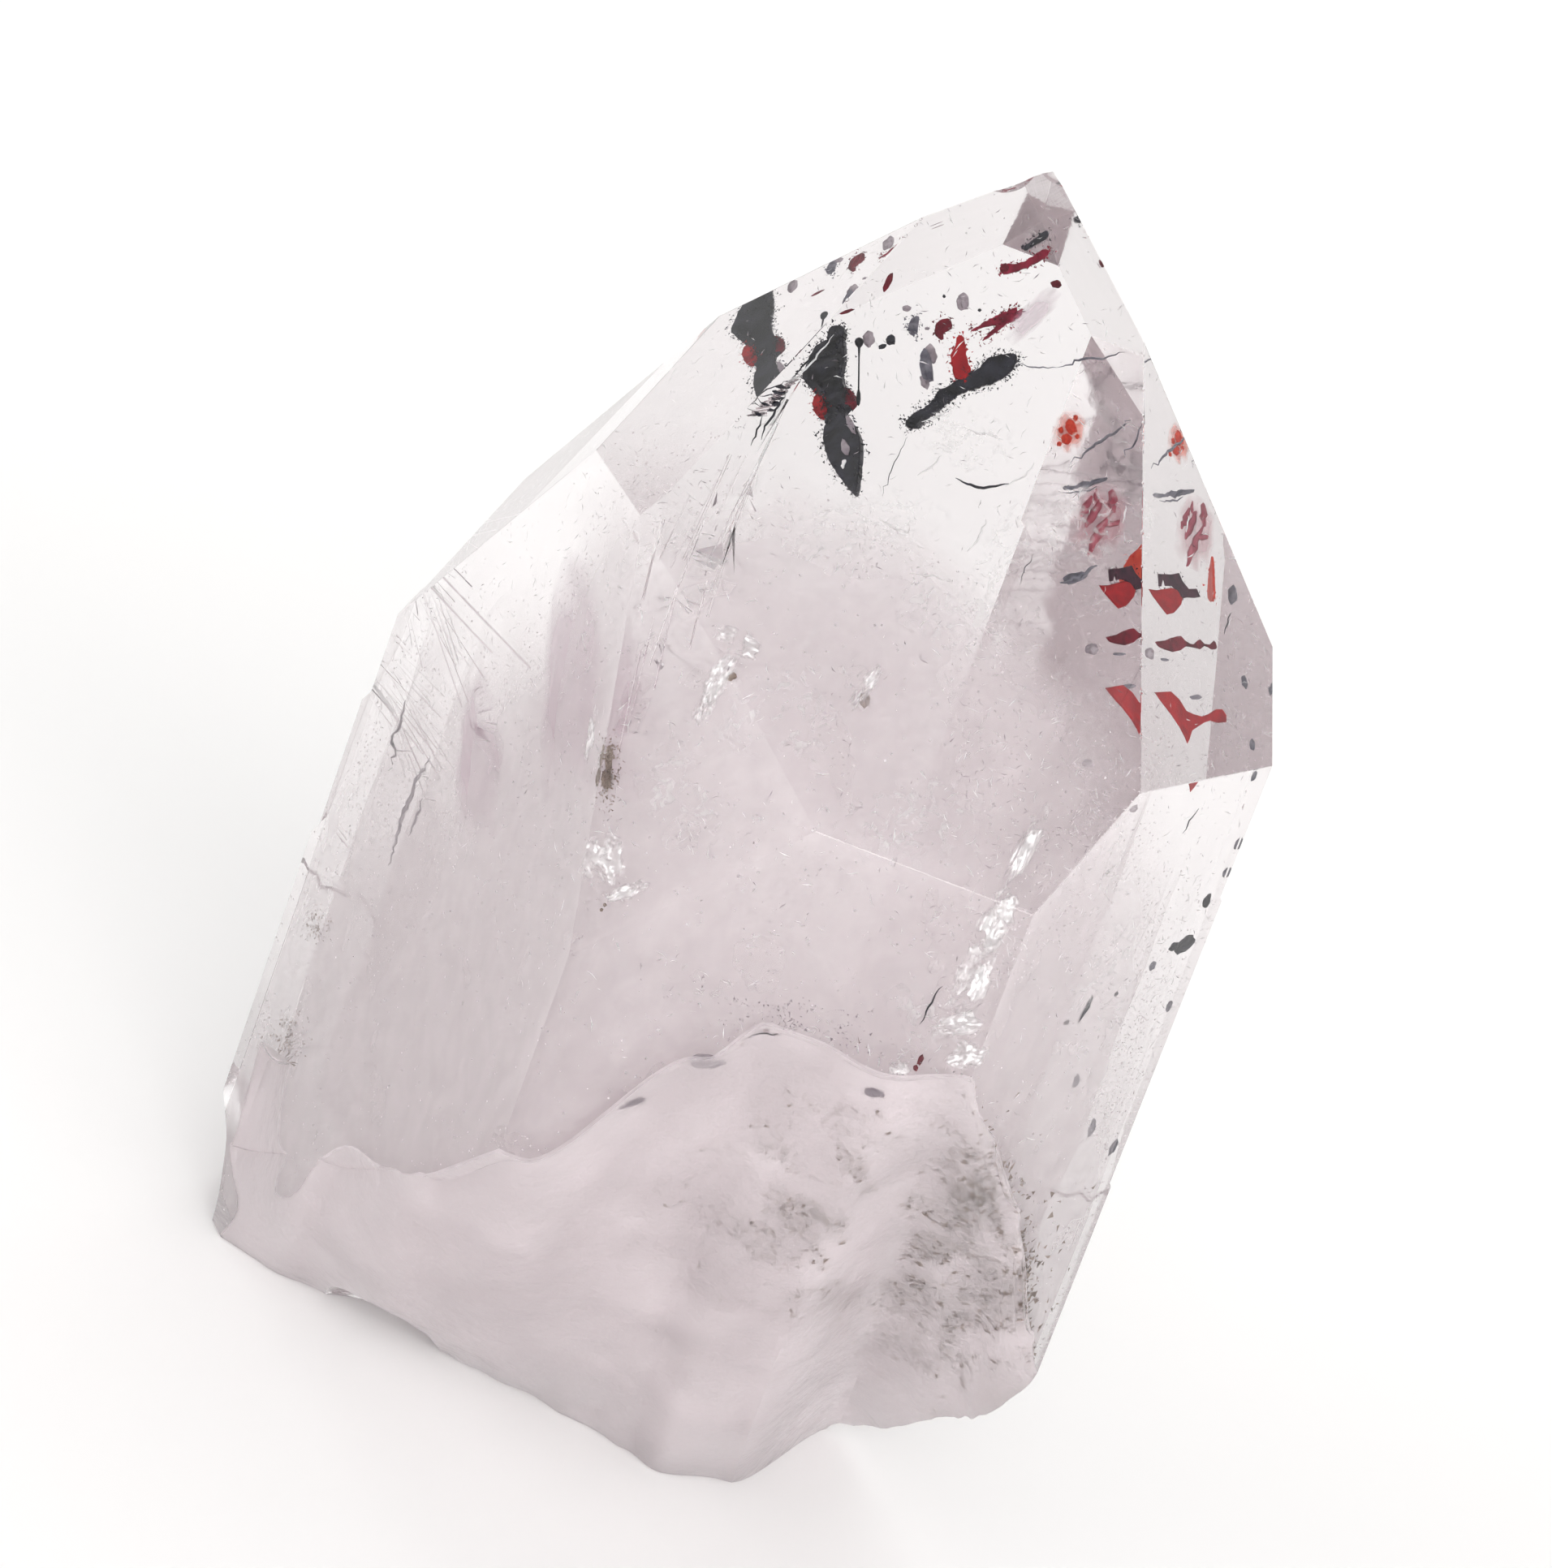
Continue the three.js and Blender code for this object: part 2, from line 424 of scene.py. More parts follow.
@dataclass(frozen=True)
class MilkFilm:
    """A thin milky veil, as dense as the share written on its points."""

    name: str
    strength: float
    seed: float
    colour: Colour = (0.99, 0.914, 0.934)
    grain: float = 900.0
    thinnest: float = 0.84
    share_attribute: str = "milk"

    def material(self) -> bpy.types.Material:
        """Builds the veil's material.

        Returns:
            The material.
        """
        made = bpy.data.materials.new(self.name)
        board = NodeBoard(made)
        milky = board.add("ShaderNodeAttribute", attribute_name=self.share_attribute).outputs["Fac"]
        drift = board.noise(self.grain, 2.0, (1, 1, 0.7), 0.6, (0.4, self.seed, 0.3))
        wisp = board.span(drift, 0.30, 0.70, self.thinnest, 1.0)
        alpha = board.math("MULTIPLY", board.math("MULTIPLY", milky, wisp), self.strength)
        skin = board.add("ShaderNodeBsdfPrincipled", {
            "Base Color": (*self.colour, 1), "Roughness": 0.9, "Specular IOR Level": 0.0, "Alpha": alpha})
        board.finish(skin.outputs[0])
        return made


@dataclass(frozen=True)
class FeatherFilm:
    """A bright, broken film of gas and liquid in a healed crack."""

    name: str
    colour: Colour = (1.0, 0.99, 0.99)
    open_share: float = 0.37
    strength: float = 0.95
    grain: float = 1500.0
    metallic: float = 0.65
    roughness: float = 0.30

    def material(self) -> bpy.types.Material:
        """Builds the film's material.

        Returns:
            The material.
        """
        made = bpy.data.materials.new(self.name)
        board = NodeBoard(made)
        flecks = board.span(board.noise(self.grain, 5.0, warp=0.8), self.open_share, self.open_share + 0.16)
        rim = board.add("ShaderNodeAttribute", attribute_name="fade").outputs["Fac"]
        alpha = board.math("MULTIPLY", board.math("MULTIPLY", flecks, rim), self.strength)
        skin = board.add("ShaderNodeBsdfPrincipled", {
            "Base Color": (*self.colour, 1), "Roughness": self.roughness, "Metallic": self.metallic,
            "Alpha": alpha})
        board.finish(skin.outputs[0])
        return made


@dataclass(frozen=True)
class MineralFinish:
    """A mineral that is sealed in the quartz: its two colours, how rough it is and how it shines."""

    name: str
    dark: Colour
    light: Colour
    roughness: float = 0.35
    metallic: float = 0.0
    sheen: float = 0.12
    grain: float = 2200.0
    relief: float = 0.04 * MM

    def material(self) -> bpy.types.Material:
        """Builds the mineral's material.

        Returns:
            The material.
        """
        made = bpy.data.materials.new(self.name)
        board = NodeBoard(made)
        mottle = board.noise(self.grain, 4.0, warp=0.4)
        colour = board.ramp(mottle, (0.35, self.dark), (0.68, self.light))
        bump = board.add("ShaderNodeBump", {"Strength": 0.6, "Distance": self.relief, "Height": mottle})
        skin = board.add("ShaderNodeBsdfPrincipled", {
            "Base Color": colour, "Roughness": self.roughness, "Metallic": self.metallic,
            "Specular IOR Level": self.sheen, "Normal": bump.outputs[0]})
        board.finish(skin.outputs[0])
        return made


@dataclass(frozen=True)
class FloorFinish:
    """A plain matt white table."""

    colour: Colour = (0.93, 0.925, 0.92)

    def material(self) -> bpy.types.Material:
        """Builds the floor's material.

        Returns:
            The material.
        """
        made = bpy.data.materials.new("pale_floor")
        board = NodeBoard(made)
        skin = board.add("ShaderNodeBsdfPrincipled", {
            "Base Color": (*self.colour, 1), "Roughness": 0.8, "Specular IOR Level": 0.1})
        board.finish(skin.outputs[0])
        return made


@dataclass(frozen=True)
class Plane:
    """A flat growth plane: all points whose place along the normal is the offset."""

    normal: Vector
    offset: float

    def deeper(self, depth: float) -> "Plane":
        """The same plane moved into the crystal by a depth."""
        return Plane(self.normal, self.offset - depth)

    def hit(self, start: Vector, way: Vector) -> Vector:
        """Where a straight line from start along way meets the plane."""
        return start + way * ((self.offset - start.dot(self.normal)) / way.dot(self.normal))


def meeting_point(one: Plane, other: Plane) -> Vector:
    """The point of the line where two planes meet that is nearest the origin.

    Args:
        one: The first plane.
        other: The second plane.

    Returns:
        The point.
    """
    between = one.normal.dot(other.normal)
    scale = 1 - between * between
    return (one.normal * ((one.offset - other.offset * between) / scale)
            + other.normal * ((other.offset - one.offset * between) / scale))


@dataclass
class Habit:
    """The crystal's own form: how far each face stands from the point where it began to grow."""

    prism_reach: dict[Side, float] = field(default_factory=lambda: {
        Side.FRONT: 10.0 * MM, Side.RIGHT_FRONT: 11.5 * MM, Side.RIGHT_BACK: 9.25 * MM,
        Side.BACK: 12.2 * MM, Side.LEFT_BACK: 12.6 * MM, Side.LEFT_FRONT: 7.6 * MM})
    tip_reach: dict[Side, float] = field(default_factory=lambda: {
        Side.FRONT: 9.9 * MM, Side.RIGHT_FRONT: 13.0 * MM, Side.RIGHT_BACK: 12.5 * MM,
        Side.BACK: 15.9 * MM, Side.LEFT_BACK: 10.9 * MM, Side.LEFT_FRONT: 10.9 * MM})
    corner_turn: float = -90.0
    corner_reach: float = 9.8 * MM
    bevel_turn: float = -19.0
    bevel_tilt: float = math.radians(74.5)
    bevel_reach: float = 9.45 * MM
    base_depth: float = 19.5 * MM
    block: float = 60 * MM
    strip_cuts: tuple[tuple[float, float], ...] = ((2.3, 3.0), (1.5, 8.0), (0.8, 15.0))
    centre: Vector = field(default_factory=Vector)

    def __post_init__(self) -> None:
        """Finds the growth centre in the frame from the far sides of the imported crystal's box."""
        low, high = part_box(CAD_NODE)
        right, rear = self.prism_reach[Side.RIGHT_FRONT], self.prism_reach[Side.RIGHT_BACK]
        corner = (right + rear) / (2 * math.sin(math.radians(Side.RIGHT_FRONT.value)))
        self.centre = Vector((high.x - corner, high.y - self.prism_reach[Side.BACK],
                              low.z + self.base_depth))

    def plane(self, normal: Vector, reach: float) -> Plane:
        """The plane at this reach from the growth centre."""
        return Plane(normal, reach + normal.dot(self.centre))

    def tip(self, side: Side) -> Plane:
        """One of the six faces of the tip."""
        return self.plane(facing(side.value, TIP_TILT), self.tip_reach[side])

    def prism(self, side: Side) -> Plane:
        """One of the six upright faces."""
        return self.plane(facing(side.value, UPRIGHT), self.prism_reach[side])

    def corner(self) -> Plane:
        """The small face across the corner on the left."""
        return self.plane(facing(self.corner_turn, CORNER_TILT), self.corner_reach)

    def bevel(self) -> Plane:
        """The blunt bevel low on the front face's left."""
        return self.plane(facing(self.bevel_turn, self.bevel_tilt), self.bevel_reach)

    def base(self) -> Plane:
        """The sawn base."""
        return self.plane(Vector((0, 0, -1)), self.base_depth)

    def strips(self) -> list[Plane]:
        """The narrow strips that round the front tip face over towards the left front prism face.

        Returns:
            The strips' planes, from the front face outwards.
        """
        tip, side = self.tip(Side.FRONT), self.prism(Side.LEFT_FRONT)
        inward = tip.normal.cross(side.normal).normalized().cross(tip.normal)
        if inward.dot(side.normal) > 0:
            inward.negate()
        edge = meeting_point(tip, side)
        cuts = []
        for inset, lean in self.strip_cuts:
            normal = tip.normal * math.cos(math.radians(lean)) - inward * math.sin(math.radians(lean))
            cuts.append(Plane(normal, (edge + inward * inset * MM).dot(normal)))
        return cuts

    def faces(self) -> list[Plane]:
        """Every plane that bounds the grown form, with the base."""
        rims = [self.prism(side) for side in Side] + [self.tip(side) for side in Side]
        return rims + self.strips() + [self.corner(), self.bevel(), self.base()]

    def window(self, start: Vector, way: Vector) -> Plane:
        """The face through which a line of sight comes in.

        Args:
            start: Where the line starts, outside the crystal.
            way: Its direction.

        Returns:
            The face's plane.
        """
        met = [plane for plane in self.faces() if way.dot(plane.normal) < 0]
        return max(met, key=lambda plane: (plane.hit(start, way) - start).dot(way))

    def room(self, points: np.ndarray) -> np.ndarray:
        """How far each point lies inside the nearest plane of the grown form.

        Args:
            points: Points, one row each.

        Returns:
            The distance for each point, negative outside.
        """
        gaps = [plane.offset - points @ np.array(plane.normal) for plane in self.faces()]
        return np.min(gaps, axis=0)

    def solid(self, name: str, inset: float = 0.0) -> bpy.types.Object:
        """The grown form as a solid, trimmed from a block by one bisect for each face.

        Args:
            name: The object's name.
            inset: How far inside the faces it ends.

        Returns:
            The solid.
        """
        bpy.ops.mesh.primitive_cube_add(size=self.block, location=self.centre)
        body = bpy.context.object
        body.name = name
        settle(body)
        for plane in self.faces():
            near = plane.deeper(inset)
            with editing(body):
                bpy.ops.mesh.bisect(plane_co=near.normal * near.offset, plane_no=near.normal,
                                    use_fill=True, clear_outer=True)
        return body


@dataclass(frozen=True)
class Rib:
    """One line down the break, at its own place across the crystal, from the growth centre."""

    across: float
    top: float
    leaves: float
    arrives: float


@dataclass(frozen=True)
class Relief:
    """One fineness of a rough surface: how high it stands, and its cells in each millimetre."""

    height: float
    pitch: float


@dataclass
class Break:
    """The oblique, rough break that took away the crystal's lower front. Its sizes are in millimetres."""

    habit: Habit
    ribs: tuple[Rib, ...] = (
        Rib(-13.0, -18.4, -5.0, -5.8), Rib(-10.7, -17.2, -3.4, -3.1), Rib(-7.8, -14.2, 1.6, -1.9),
        Rib(-4.6, -10.9, 7.1, -1.2), Rib(-2.4, -8.1, 10.0, -0.7), Rib(1.1, -3.6, 10.0, 0.1),
        Rib(2.3, -2.1, 10.0, 0.6), Rib(3.4, -2.1, 10.0, 1.2), Rib(5.3, -2.3, 10.0, 0.3),
        Rib(7.6, -1.5, 10.0, -5.2), Rib(9.8, -6.1, 6.1, -4.5), Rib(11.4, -10.6, 3.4, -4.0),
        Rib(13.0, -12.6, 1.6, -4.6))
    columns: int = 120
    rows: int = 84
    ledge: float = 0.12
    bulge: float = 0.9
    roughness: float = 0.30
    overrun: float = 3.0
    reach: float = 40.0
    scoops: Relief = Relief(0.62, 0.32)
    lumps: Relief = Relief(0.30, 0.9)
    ripples: Relief = Relief(0.05, 4.4)
    ripple_centre: tuple[float, float] = (3.0, -1.5)
    grain: Relief = Relief(0.10, 2.4)

    def _rib(self, across: float) -> Rib:
        """The rib at any place across, eased between those that are given.

        Args:
            across: Place across the crystal.

        Returns:
            The rib.
        """
        last = next((k for k, rib in enumerate(self.ribs) if rib.across >= across), 1)
        before, after = self.ribs[max(last, 1) - 1], self.ribs[max(last, 1)]
        share = (across - before.across) / (after.across - before.across)
        share = share * share * (3 - 2 * share)
        mixed = (getattr(before, key) * (1 - share) + getattr(after, key) * share
                 for key in ("top", "leaves", "arrives"))
        return Rib(across, *mixed)

    def _ragged(self, across: float, down: float) -> float:
        """How far the broken surface stands out of its smooth course.

        Args:
            across: Place across the crystal.
            down: Place down the break.

        Returns:
            The sum of its scoops, lumps, ripples and grain.
        """
        place = Vector((across, down, 0.0))
        scoops = self.scoops.height * noise.noise(place * self.scoops.pitch + Vector((3.1, 0.0, 0.0)))
        lumps = self.lumps.height * noise.noise(place * self.lumps.pitch + Vector((0.0, 7.7, 0.0)))
        reach = math.hypot(across - self.ripple_centre[0], down - self.ripple_centre[1])
        sway = 2.0 * noise.noise(place * 0.5)
        ripples = self.ripples.height * math.sin(reach * self.ripples.pitch + sway)
        grain = self.grain.height * noise.fractal(place * self.grain.pitch, 1.0, 2.1, 4)
        return scoops + lumps + ripples + grain

    def _point(self, u: float, v: float) -> Vector:
        """One point of the broken surface.

        Args:
            u: Place across, from 0 at the left to 1 at the right.
            v: Place down, from 0 above the grown faces to 1 below the base.

        Returns:
            The point in the crystal's frame.
        """
        first, last = self.ribs[0].across, self.ribs[-1].across
        across = first + (last - first) * u
        rib = self._rib(across)
        drop = rib.top + self.habit.base_depth / MM
        slope = (rib.leaves - rib.arrives) / drop
        over_share, ledge_share = 0.04, 0.06
        if v <= over_share:
            rise = self.overrun * (1 - v / over_share)
            place = Vector((across, -(rib.leaves + slope * rise), rib.top + rise))
        else:
            share = max(0.0, (v - ledge_share) / (1 - ledge_share))
            step = min(1.0, (v - over_share) / (ledge_share - over_share))
            down = self.ledge * step + (drop + 1 - self.ledge) * share
            bulge = self.bulge * math.sin(math.pi * share)
            rough = self.roughness * min(1.0, drop / 10) * self._ragged(across, down) * step
            forward = rib.leaves - self.ledge * step - slope * down + bulge + rough
            place = Vector((across, -forward, rib.top - down))
        return self.habit.centre + place * MM

    def taken_away(self) -> bpy.types.Object:
        """Makes the solid of everything that broke away.

        Returns:
            The solid, with its faces in the broken slot.
        """
        bpy.ops.mesh.primitive_grid_add(x_subdivisions=self.columns, y_subdivisions=self.rows, size=1.0)
        cutter = bpy.context.object
        for corner in cutter.data.vertices:
            corner.co = self._point(corner.co.x + 0.5, 0.5 - corner.co.y)
        with editing(cutter):
            bpy.ops.mesh.extrude_region_move(TRANSFORM_OT_translate={"value": (0, -self.reach * MM, 0)})
            face_outwards()
        assign_surface(cutter, Surface.BROKEN)
        return cutter


def assign_surface(piece: bpy.types.Object, surface: Surface) -> None:
    """Marks all of a piece's faces with the slot of one kind of surface.

    Args:
        piece: The piece to mark.
        surface: The kind of surface.
    """
    for kind in Surface:
        held = bpy.data.materials.get(kind.name.lower()) or bpy.data.materials.new(kind.name.lower())
        piece.data.materials.append(held)
    piece.data.polygons.foreach_set("material_index", [surface.value] * len(piece.data.polygons))


@dataclass(frozen=True)
class Ledge:
    """A growth step: above this height a face stands further in."""

    side: Side
    height: float
    depth: float


@dataclass(frozen=True)
class Chip:
    """A shell-shaped bite: where it is, which way it faces, how round and how deep it is."""

    at: tuple[float, float, float]
    away: tuple[float, float, float]
    radius: float
    depth: float


@dataclass(frozen=True)
class Viewpoint:
    """Where the crystal is looked at from, and how picture points map on to it."""

    target: Vector
    azimuth: float = math.radians(2.26)
    elevation: float = math.radians(22.34)
    roll: float = math.radians(20.18)
    distance: float = 0.200
    points_per_metre: float = 47000.0
    picture: Pixel = (1912.0, 1932.0)
    sensor: float = 36.0

    def axes(self) -> tuple[Vector, Vector, Vector]:
        """The picture's own directions.

        Returns:
            Its right and up, and the way towards the viewer.
        """
        towards = Vector((math.cos(self.elevation) * math.sin(self.azimuth),
                          -math.cos(self.elevation) * math.cos(self.azimuth), math.sin(self.elevation)))
        level = Vector((math.cos(self.azimuth), math.sin(self.azimuth), 0.0))
        upright = towards.cross(level)
        right = level * math.cos(self.roll) + upright * math.sin(self.roll)
        up = upright * math.cos(self.roll) - level * math.sin(self.roll)
        return right, up, towards

    def eye(self) -> Vector:
        """The viewer's place."""
        return self.target + self.axes()[2] * self.distance

    def way(self, pixel: Pixel) -> Vector:
        """The direction of sight through one point of the picture.

        Args:
            pixel: Point of the picture.

        Returns:
            The direction, one unit long.
        """
        right, up, _ = self.axes()
        across = (pixel[0] - self.picture[0] / 2) / self.points_per_metre
        rise = (self.picture[1] / 2 - pixel[1]) / self.points_per_metre
        return (self.target + right * across + up * rise - self.eye()).normalized()

    def spread(self, wide: float, high: float, turn_deg: float) -> tuple[Vector, Vector]:
        """The two half axes of a patch that faces the viewer.

        Args:
            wide: Half its width, in points of the picture.
            high: Half its height.
            turn_deg: Its turn to the left, in degrees.

        Returns:
            The half axes across and up.
        """
        right, up, _ = self.axes()
        turn = math.radians(turn_deg)
        across = (right * math.cos(turn) + up * math.sin(turn)) * wide / self.points_per_metre
        rise = (up * math.cos(turn) - right * math.sin(turn)) * high / self.points_per_metre
        return across, rise

    def under(self, pixel: Pixel, habit: Habit, depth: float) -> Vector:
        """The point that is seen at a pixel, this deep below the face it is seen through."""
        window = habit.window(self.eye(), self.way(pixel))
        return self.inside(pixel, window, window.deeper(depth))

    def inside(self, pixel: Pixel, window: Plane, layer: Plane) -> Vector:
        """Where the line of sight, bent as it enters a face, meets a plane inside the crystal.

        Args:
            pixel: Point of the picture.
            window: The face that is looked through.
            layer: The plane inside.

        Returns:
            The point on the inner plane.
        """
        way = self.way(pixel)
        entry = window.hit(self.eye(), way)
        cosine = -way.dot(window.normal)
        ratio = 1 / QUARTZ_INDEX
        bent = way * ratio + window.normal * (ratio * cosine - math.sqrt(1 - ratio**2 * (1 - cosine**2)))
        return layer.hit(entry, bent)

    def camera(self) -> bpy.types.Object:
        """Adds the camera and makes it the scene's own.

        Returns:
            The camera.
        """
        right, up, towards = self.axes()
        data = bpy.data.cameras.new("camera")
        data.sensor_width = self.sensor
        data.lens = self.points_per_metre * self.distance * self.sensor / max(self.picture)
        data.clip_start, data.clip_end = 0.01, 20.0
        seen = bpy.data.objects.new("camera", data)
        turned = Matrix((right, up, towards)).transposed().to_4x4()
        seen.matrix_world = Matrix.Translation(self.eye()) @ turned
        bpy.context.scene.collection.objects.link(seen)
        bpy.context.scene.camera = seen
        return seen


@dataclass(frozen=True)
class Mark:
    """A fine line on the crystal's skin between two points of the picture."""

    start: Pixel
    end: Pixel
    width: float


def ladder_marks() -> list[Mark]:
    """The short rungs where the front and left front tip faces meet in steps.

    Returns:
        The rungs, from the foot of the ladder to its head.
    """
    foot, head, rungs = (921.0, 512.0), (972.0, 470.0), 11
    longest, shorter_by, rises, rises_more = 24.0, 8.0, 3.0, 5.0
    width = 0.045 * MM
    marks = []
    for k in range(rungs):
        share = k / (rungs - 1)
        left = (foot[0] + (head[0] - foot[0]) * share, foot[1] + (head[1] - foot[1]) * share)
        reach = longest - shorter_by * share
        marks.append(Mark(left, (left[0] + reach, left[1] - rises - rises_more * share), width))
    return marks


def growth_lines() -> list[Mark]:
    """The long fine lines that run down the stepped strips at the front face's left.

    Returns:
        The lines, in three widths by turns.
    """
    lines = (((985, 470), (930, 560)), ((970, 492), (905, 640)), ((958, 520), (890, 668)),
             ((938, 560), (868, 700)), ((925, 600), (880, 720)), ((900, 560), (842, 690)),
             ((884, 590), (826, 700)), ((868, 640), (800, 820)), ((905, 650), (872, 760)),
             ((850, 610), (812, 690)), ((836, 720), (806, 850)), ((818, 640), (792, 740)),
             ((806, 760), (778, 880)), ((872, 715), (850, 800)), ((790, 800), (762, 930)),
             ((920, 560), (878, 650)))
    widths = (0.018 * MM, 0.030 * MM, 0.042 * MM)
    return [Mark(start, end, widths[k % 3]) for k, (start, end) in enumerate(lines)]


@dataclass
class QuartzPoint:
    """The crystal itself: its faces, strips, ledges, break and chips."""

    habit: Habit
    view: Viewpoint
    finish: ClearQuartz = ClearQuartz()
    bloom: MilkFilm = MilkFilm("break_bloom", 0.74, 4.1)
    bloom_depth: float = 0.09 * MM
    bloom_pitch: float = 330.0
    bloom_least: float = 0.42
    bloom_usual: float = 0.79
    bloom_patches: float = 0.42
    edge_rounding: float = 0.018 * MM
    etching: float = 0.16
    ledge_sway: float = 0.45 * MM
    ledge_slope: float = 1.2
    cell: float = 1.9 * MM
    cutter: float = 40 * MM
    rim_cuts: int = 70
    nibble: tuple[float, float] = (0.03, 0.09)
    crease: float = math.radians(28)
    ledges: tuple[Ledge, ...] = (
        Ledge(Side.BACK, -11.5, 0.14), Ledge(Side.LEFT_BACK, -8.5, 0.3), Ledge(Side.LEFT_BACK, -4.5, 0.65),
        Ledge(Side.LEFT_BACK, -1.6, 1.0), Ledge(Side.RIGHT_BACK, -6.5, 0.12),
        Ledge(Side.RIGHT_BACK, 2.4, 0.24))
    chip_wave: Relief = Relief(0.02, 0.9)
    chips: tuple[Chip, ...] = (
        Chip((1.25, 1.35, 17.9), (0.2, -0.3, 1.0), 1.6, 0.22),
        Chip((0.4, 0.7, 17.4), (-0.6, 0.1, 1.0), 1.2, 0.2),
        Chip((-6.8, 12.1, -19.5), (-0.4, 1.0, -0.8), 3.4, 0.9),
        Chip((0.2, 12.1, -19.5), (0.1, 1.0, -0.9), 4.2, 0.8),
        Chip((3.6, 11.9, -19.5), (0.5, 1.0, -0.8), 2.8, 0.9),
        Chip((7.3, 6.5, -19.5), (1.0, 0.4, -0.8), 3.6, 0.9),
        Chip((-9.6, 9.4, -19.5), (-1.0, 0.5, -0.7), 3.0, 1.0),
        Chip((-11.7, 5.0, -18.4), (-1.0, -0.2, -0.35), 5.0, 0.95),
        Chip((-5.0, 1.4, -19.5), (-0.2, -1.0, -0.9), 2.6, 0.5))

    def _ease_edges(self, body: bpy.types.Object) -> None:
        """Takes the knife-sharp look off the edges.

        Args:
            body: The crystal.
        """
        with editing(body):
            bpy.ops.mesh.remove_doubles(threshold=0.002 * MM)
            bpy.ops.mesh.bevel(offset=self.edge_rounding, segments=2, affect="EDGES")

    def _cut_ledges(self, body: bpy.types.Object) -> None:
        """Steps the prism faces in towards the tip.

        Args:
            body: The crystal.
        """
        half = self.cutter / 2
        for ledge in self.ledges:
            face = self.habit.prism(ledge.side)
            reach = self.habit.prism_reach[ledge.side] - ledge.depth * MM
            start = self.habit.centre + face.normal * reach
            middle = start + face.normal * half + Vector((0, 0, half + ledge.height * MM))
            bpy.ops.mesh.primitive_cube_add(size=self.cutter, location=middle,
                                            rotation=(0, 0, math.radians(ledge.side.value)))
            block = bpy.context.object
            settle(block)
            with editing(block):
                bpy.ops.mesh.subdivide(number_cuts=self.rim_cuts)
            self._wave_rim(block, middle.z - half, face)
            assign_surface(block, Surface.GROWN)
            carve(body, block)

    def _wave_rim(self, block: bpy.types.Object, foot: float, face: Plane) -> None:
        """Makes the lower rim of a ledge's cutter wander up and down, and slopes it outwards.

        Args:
            block: The cutter.
            foot: Height of its lower face.
            face: The prism face that it steps in.
        """
        for corner in block.data.vertices:
            if corner.co.z < foot + 0.01 * MM:
                place = corner.co / MM
                along = Vector((place.x, place.y, foot / MM)) - face.normal * place.dot(face.normal)
                out = corner.co.dot(face.normal) - face.offset
                sway = noise.fractal(along * 0.55, 0.9, FINER, 4) * self.ledge_sway
                corner.co.z += sway - out * self.ledge_slope

    def _chip(self, body: bpy.types.Object) -> None:
        """Bites the shell-shaped chips out of the tip and the rim of the base.

        Args:
            body: The crystal.
        """
        for chip in self.chips:
            away = Vector(chip.away).normalized() * (chip.radius - chip.depth)
            middle = self.habit.centre + (Vector(chip.at) + away) * MM
            bpy.ops.mesh.primitive_ico_sphere_add(subdivisions=5, radius=chip.radius * MM, location=middle)
            scoop = bpy.context.object
            for corner in scoop.data.vertices:
                wave = noise.noise(corner.co / MM * self.chip_wave.pitch + Vector(chip.at))
                corner.co *= 1 + self.chip_wave.height * wave
            assign_surface(scoop, Surface.CHIPPED)
            carve(body, scoop)

    def _scratch(self, body: bpy.types.Object) -> None:
        """Cuts the growth lines and the ladder of tiny steps beside the front face's left edge.

        Args:
            body: The crystal.
        """
        rods = [self._groove(body, mark) for mark in (*ladder_marks(), *growth_lines())]
        tool = joined([rod for rod in rods if rod] + self._nibbles(), "scratches")
        assign_surface(tool, Surface.CHIPPED)
        self._divide(body)
        carve(body, tool)

    def _divide(self, body: bpy.types.Object) -> None:
        """Divides the large faces into small ones, so that fine cuts leave clean faces.

        Args:
            body: The crystal.
        """
        steps = np.arange(-10, 11) * self.cell
        for axis in (Vector((1, 0, 0)), Vector((0, 0, 1))):
            for step in steps:
                with editing(body):
                    bpy.ops.mesh.bisect(plane_co=self.habit.centre + axis * step, plane_no=axis)

    def _groove(self, body: bpy.types.Object, mark: Mark) -> bpy.types.Object | None:
        """A three-sided rod that lies in the skin between two points of the picture.

        Args:
            body: The crystal.
            mark: The two points and the width.

        Returns:
            The rod, or None if a point misses the crystal.
        """
        eye = self.view.eye()
        ends = [body.ray_cast(eye, self.view.way(pixel)) for pixel in (mark.start, mark.end)]
        if not all(found for found, *_ in ends):
            return None
        first, last = ends[0][1], ends[1][1]
        along = last - first
        bpy.ops.mesh.primitive_cylinder_add(
            vertices=3, radius=mark.width, depth=along.length, location=(first + last) / 2,
            rotation=along.to_track_quat("Z", "Y").to_euler())
        rod = bpy.context.object
        settle(rod)
        return rod

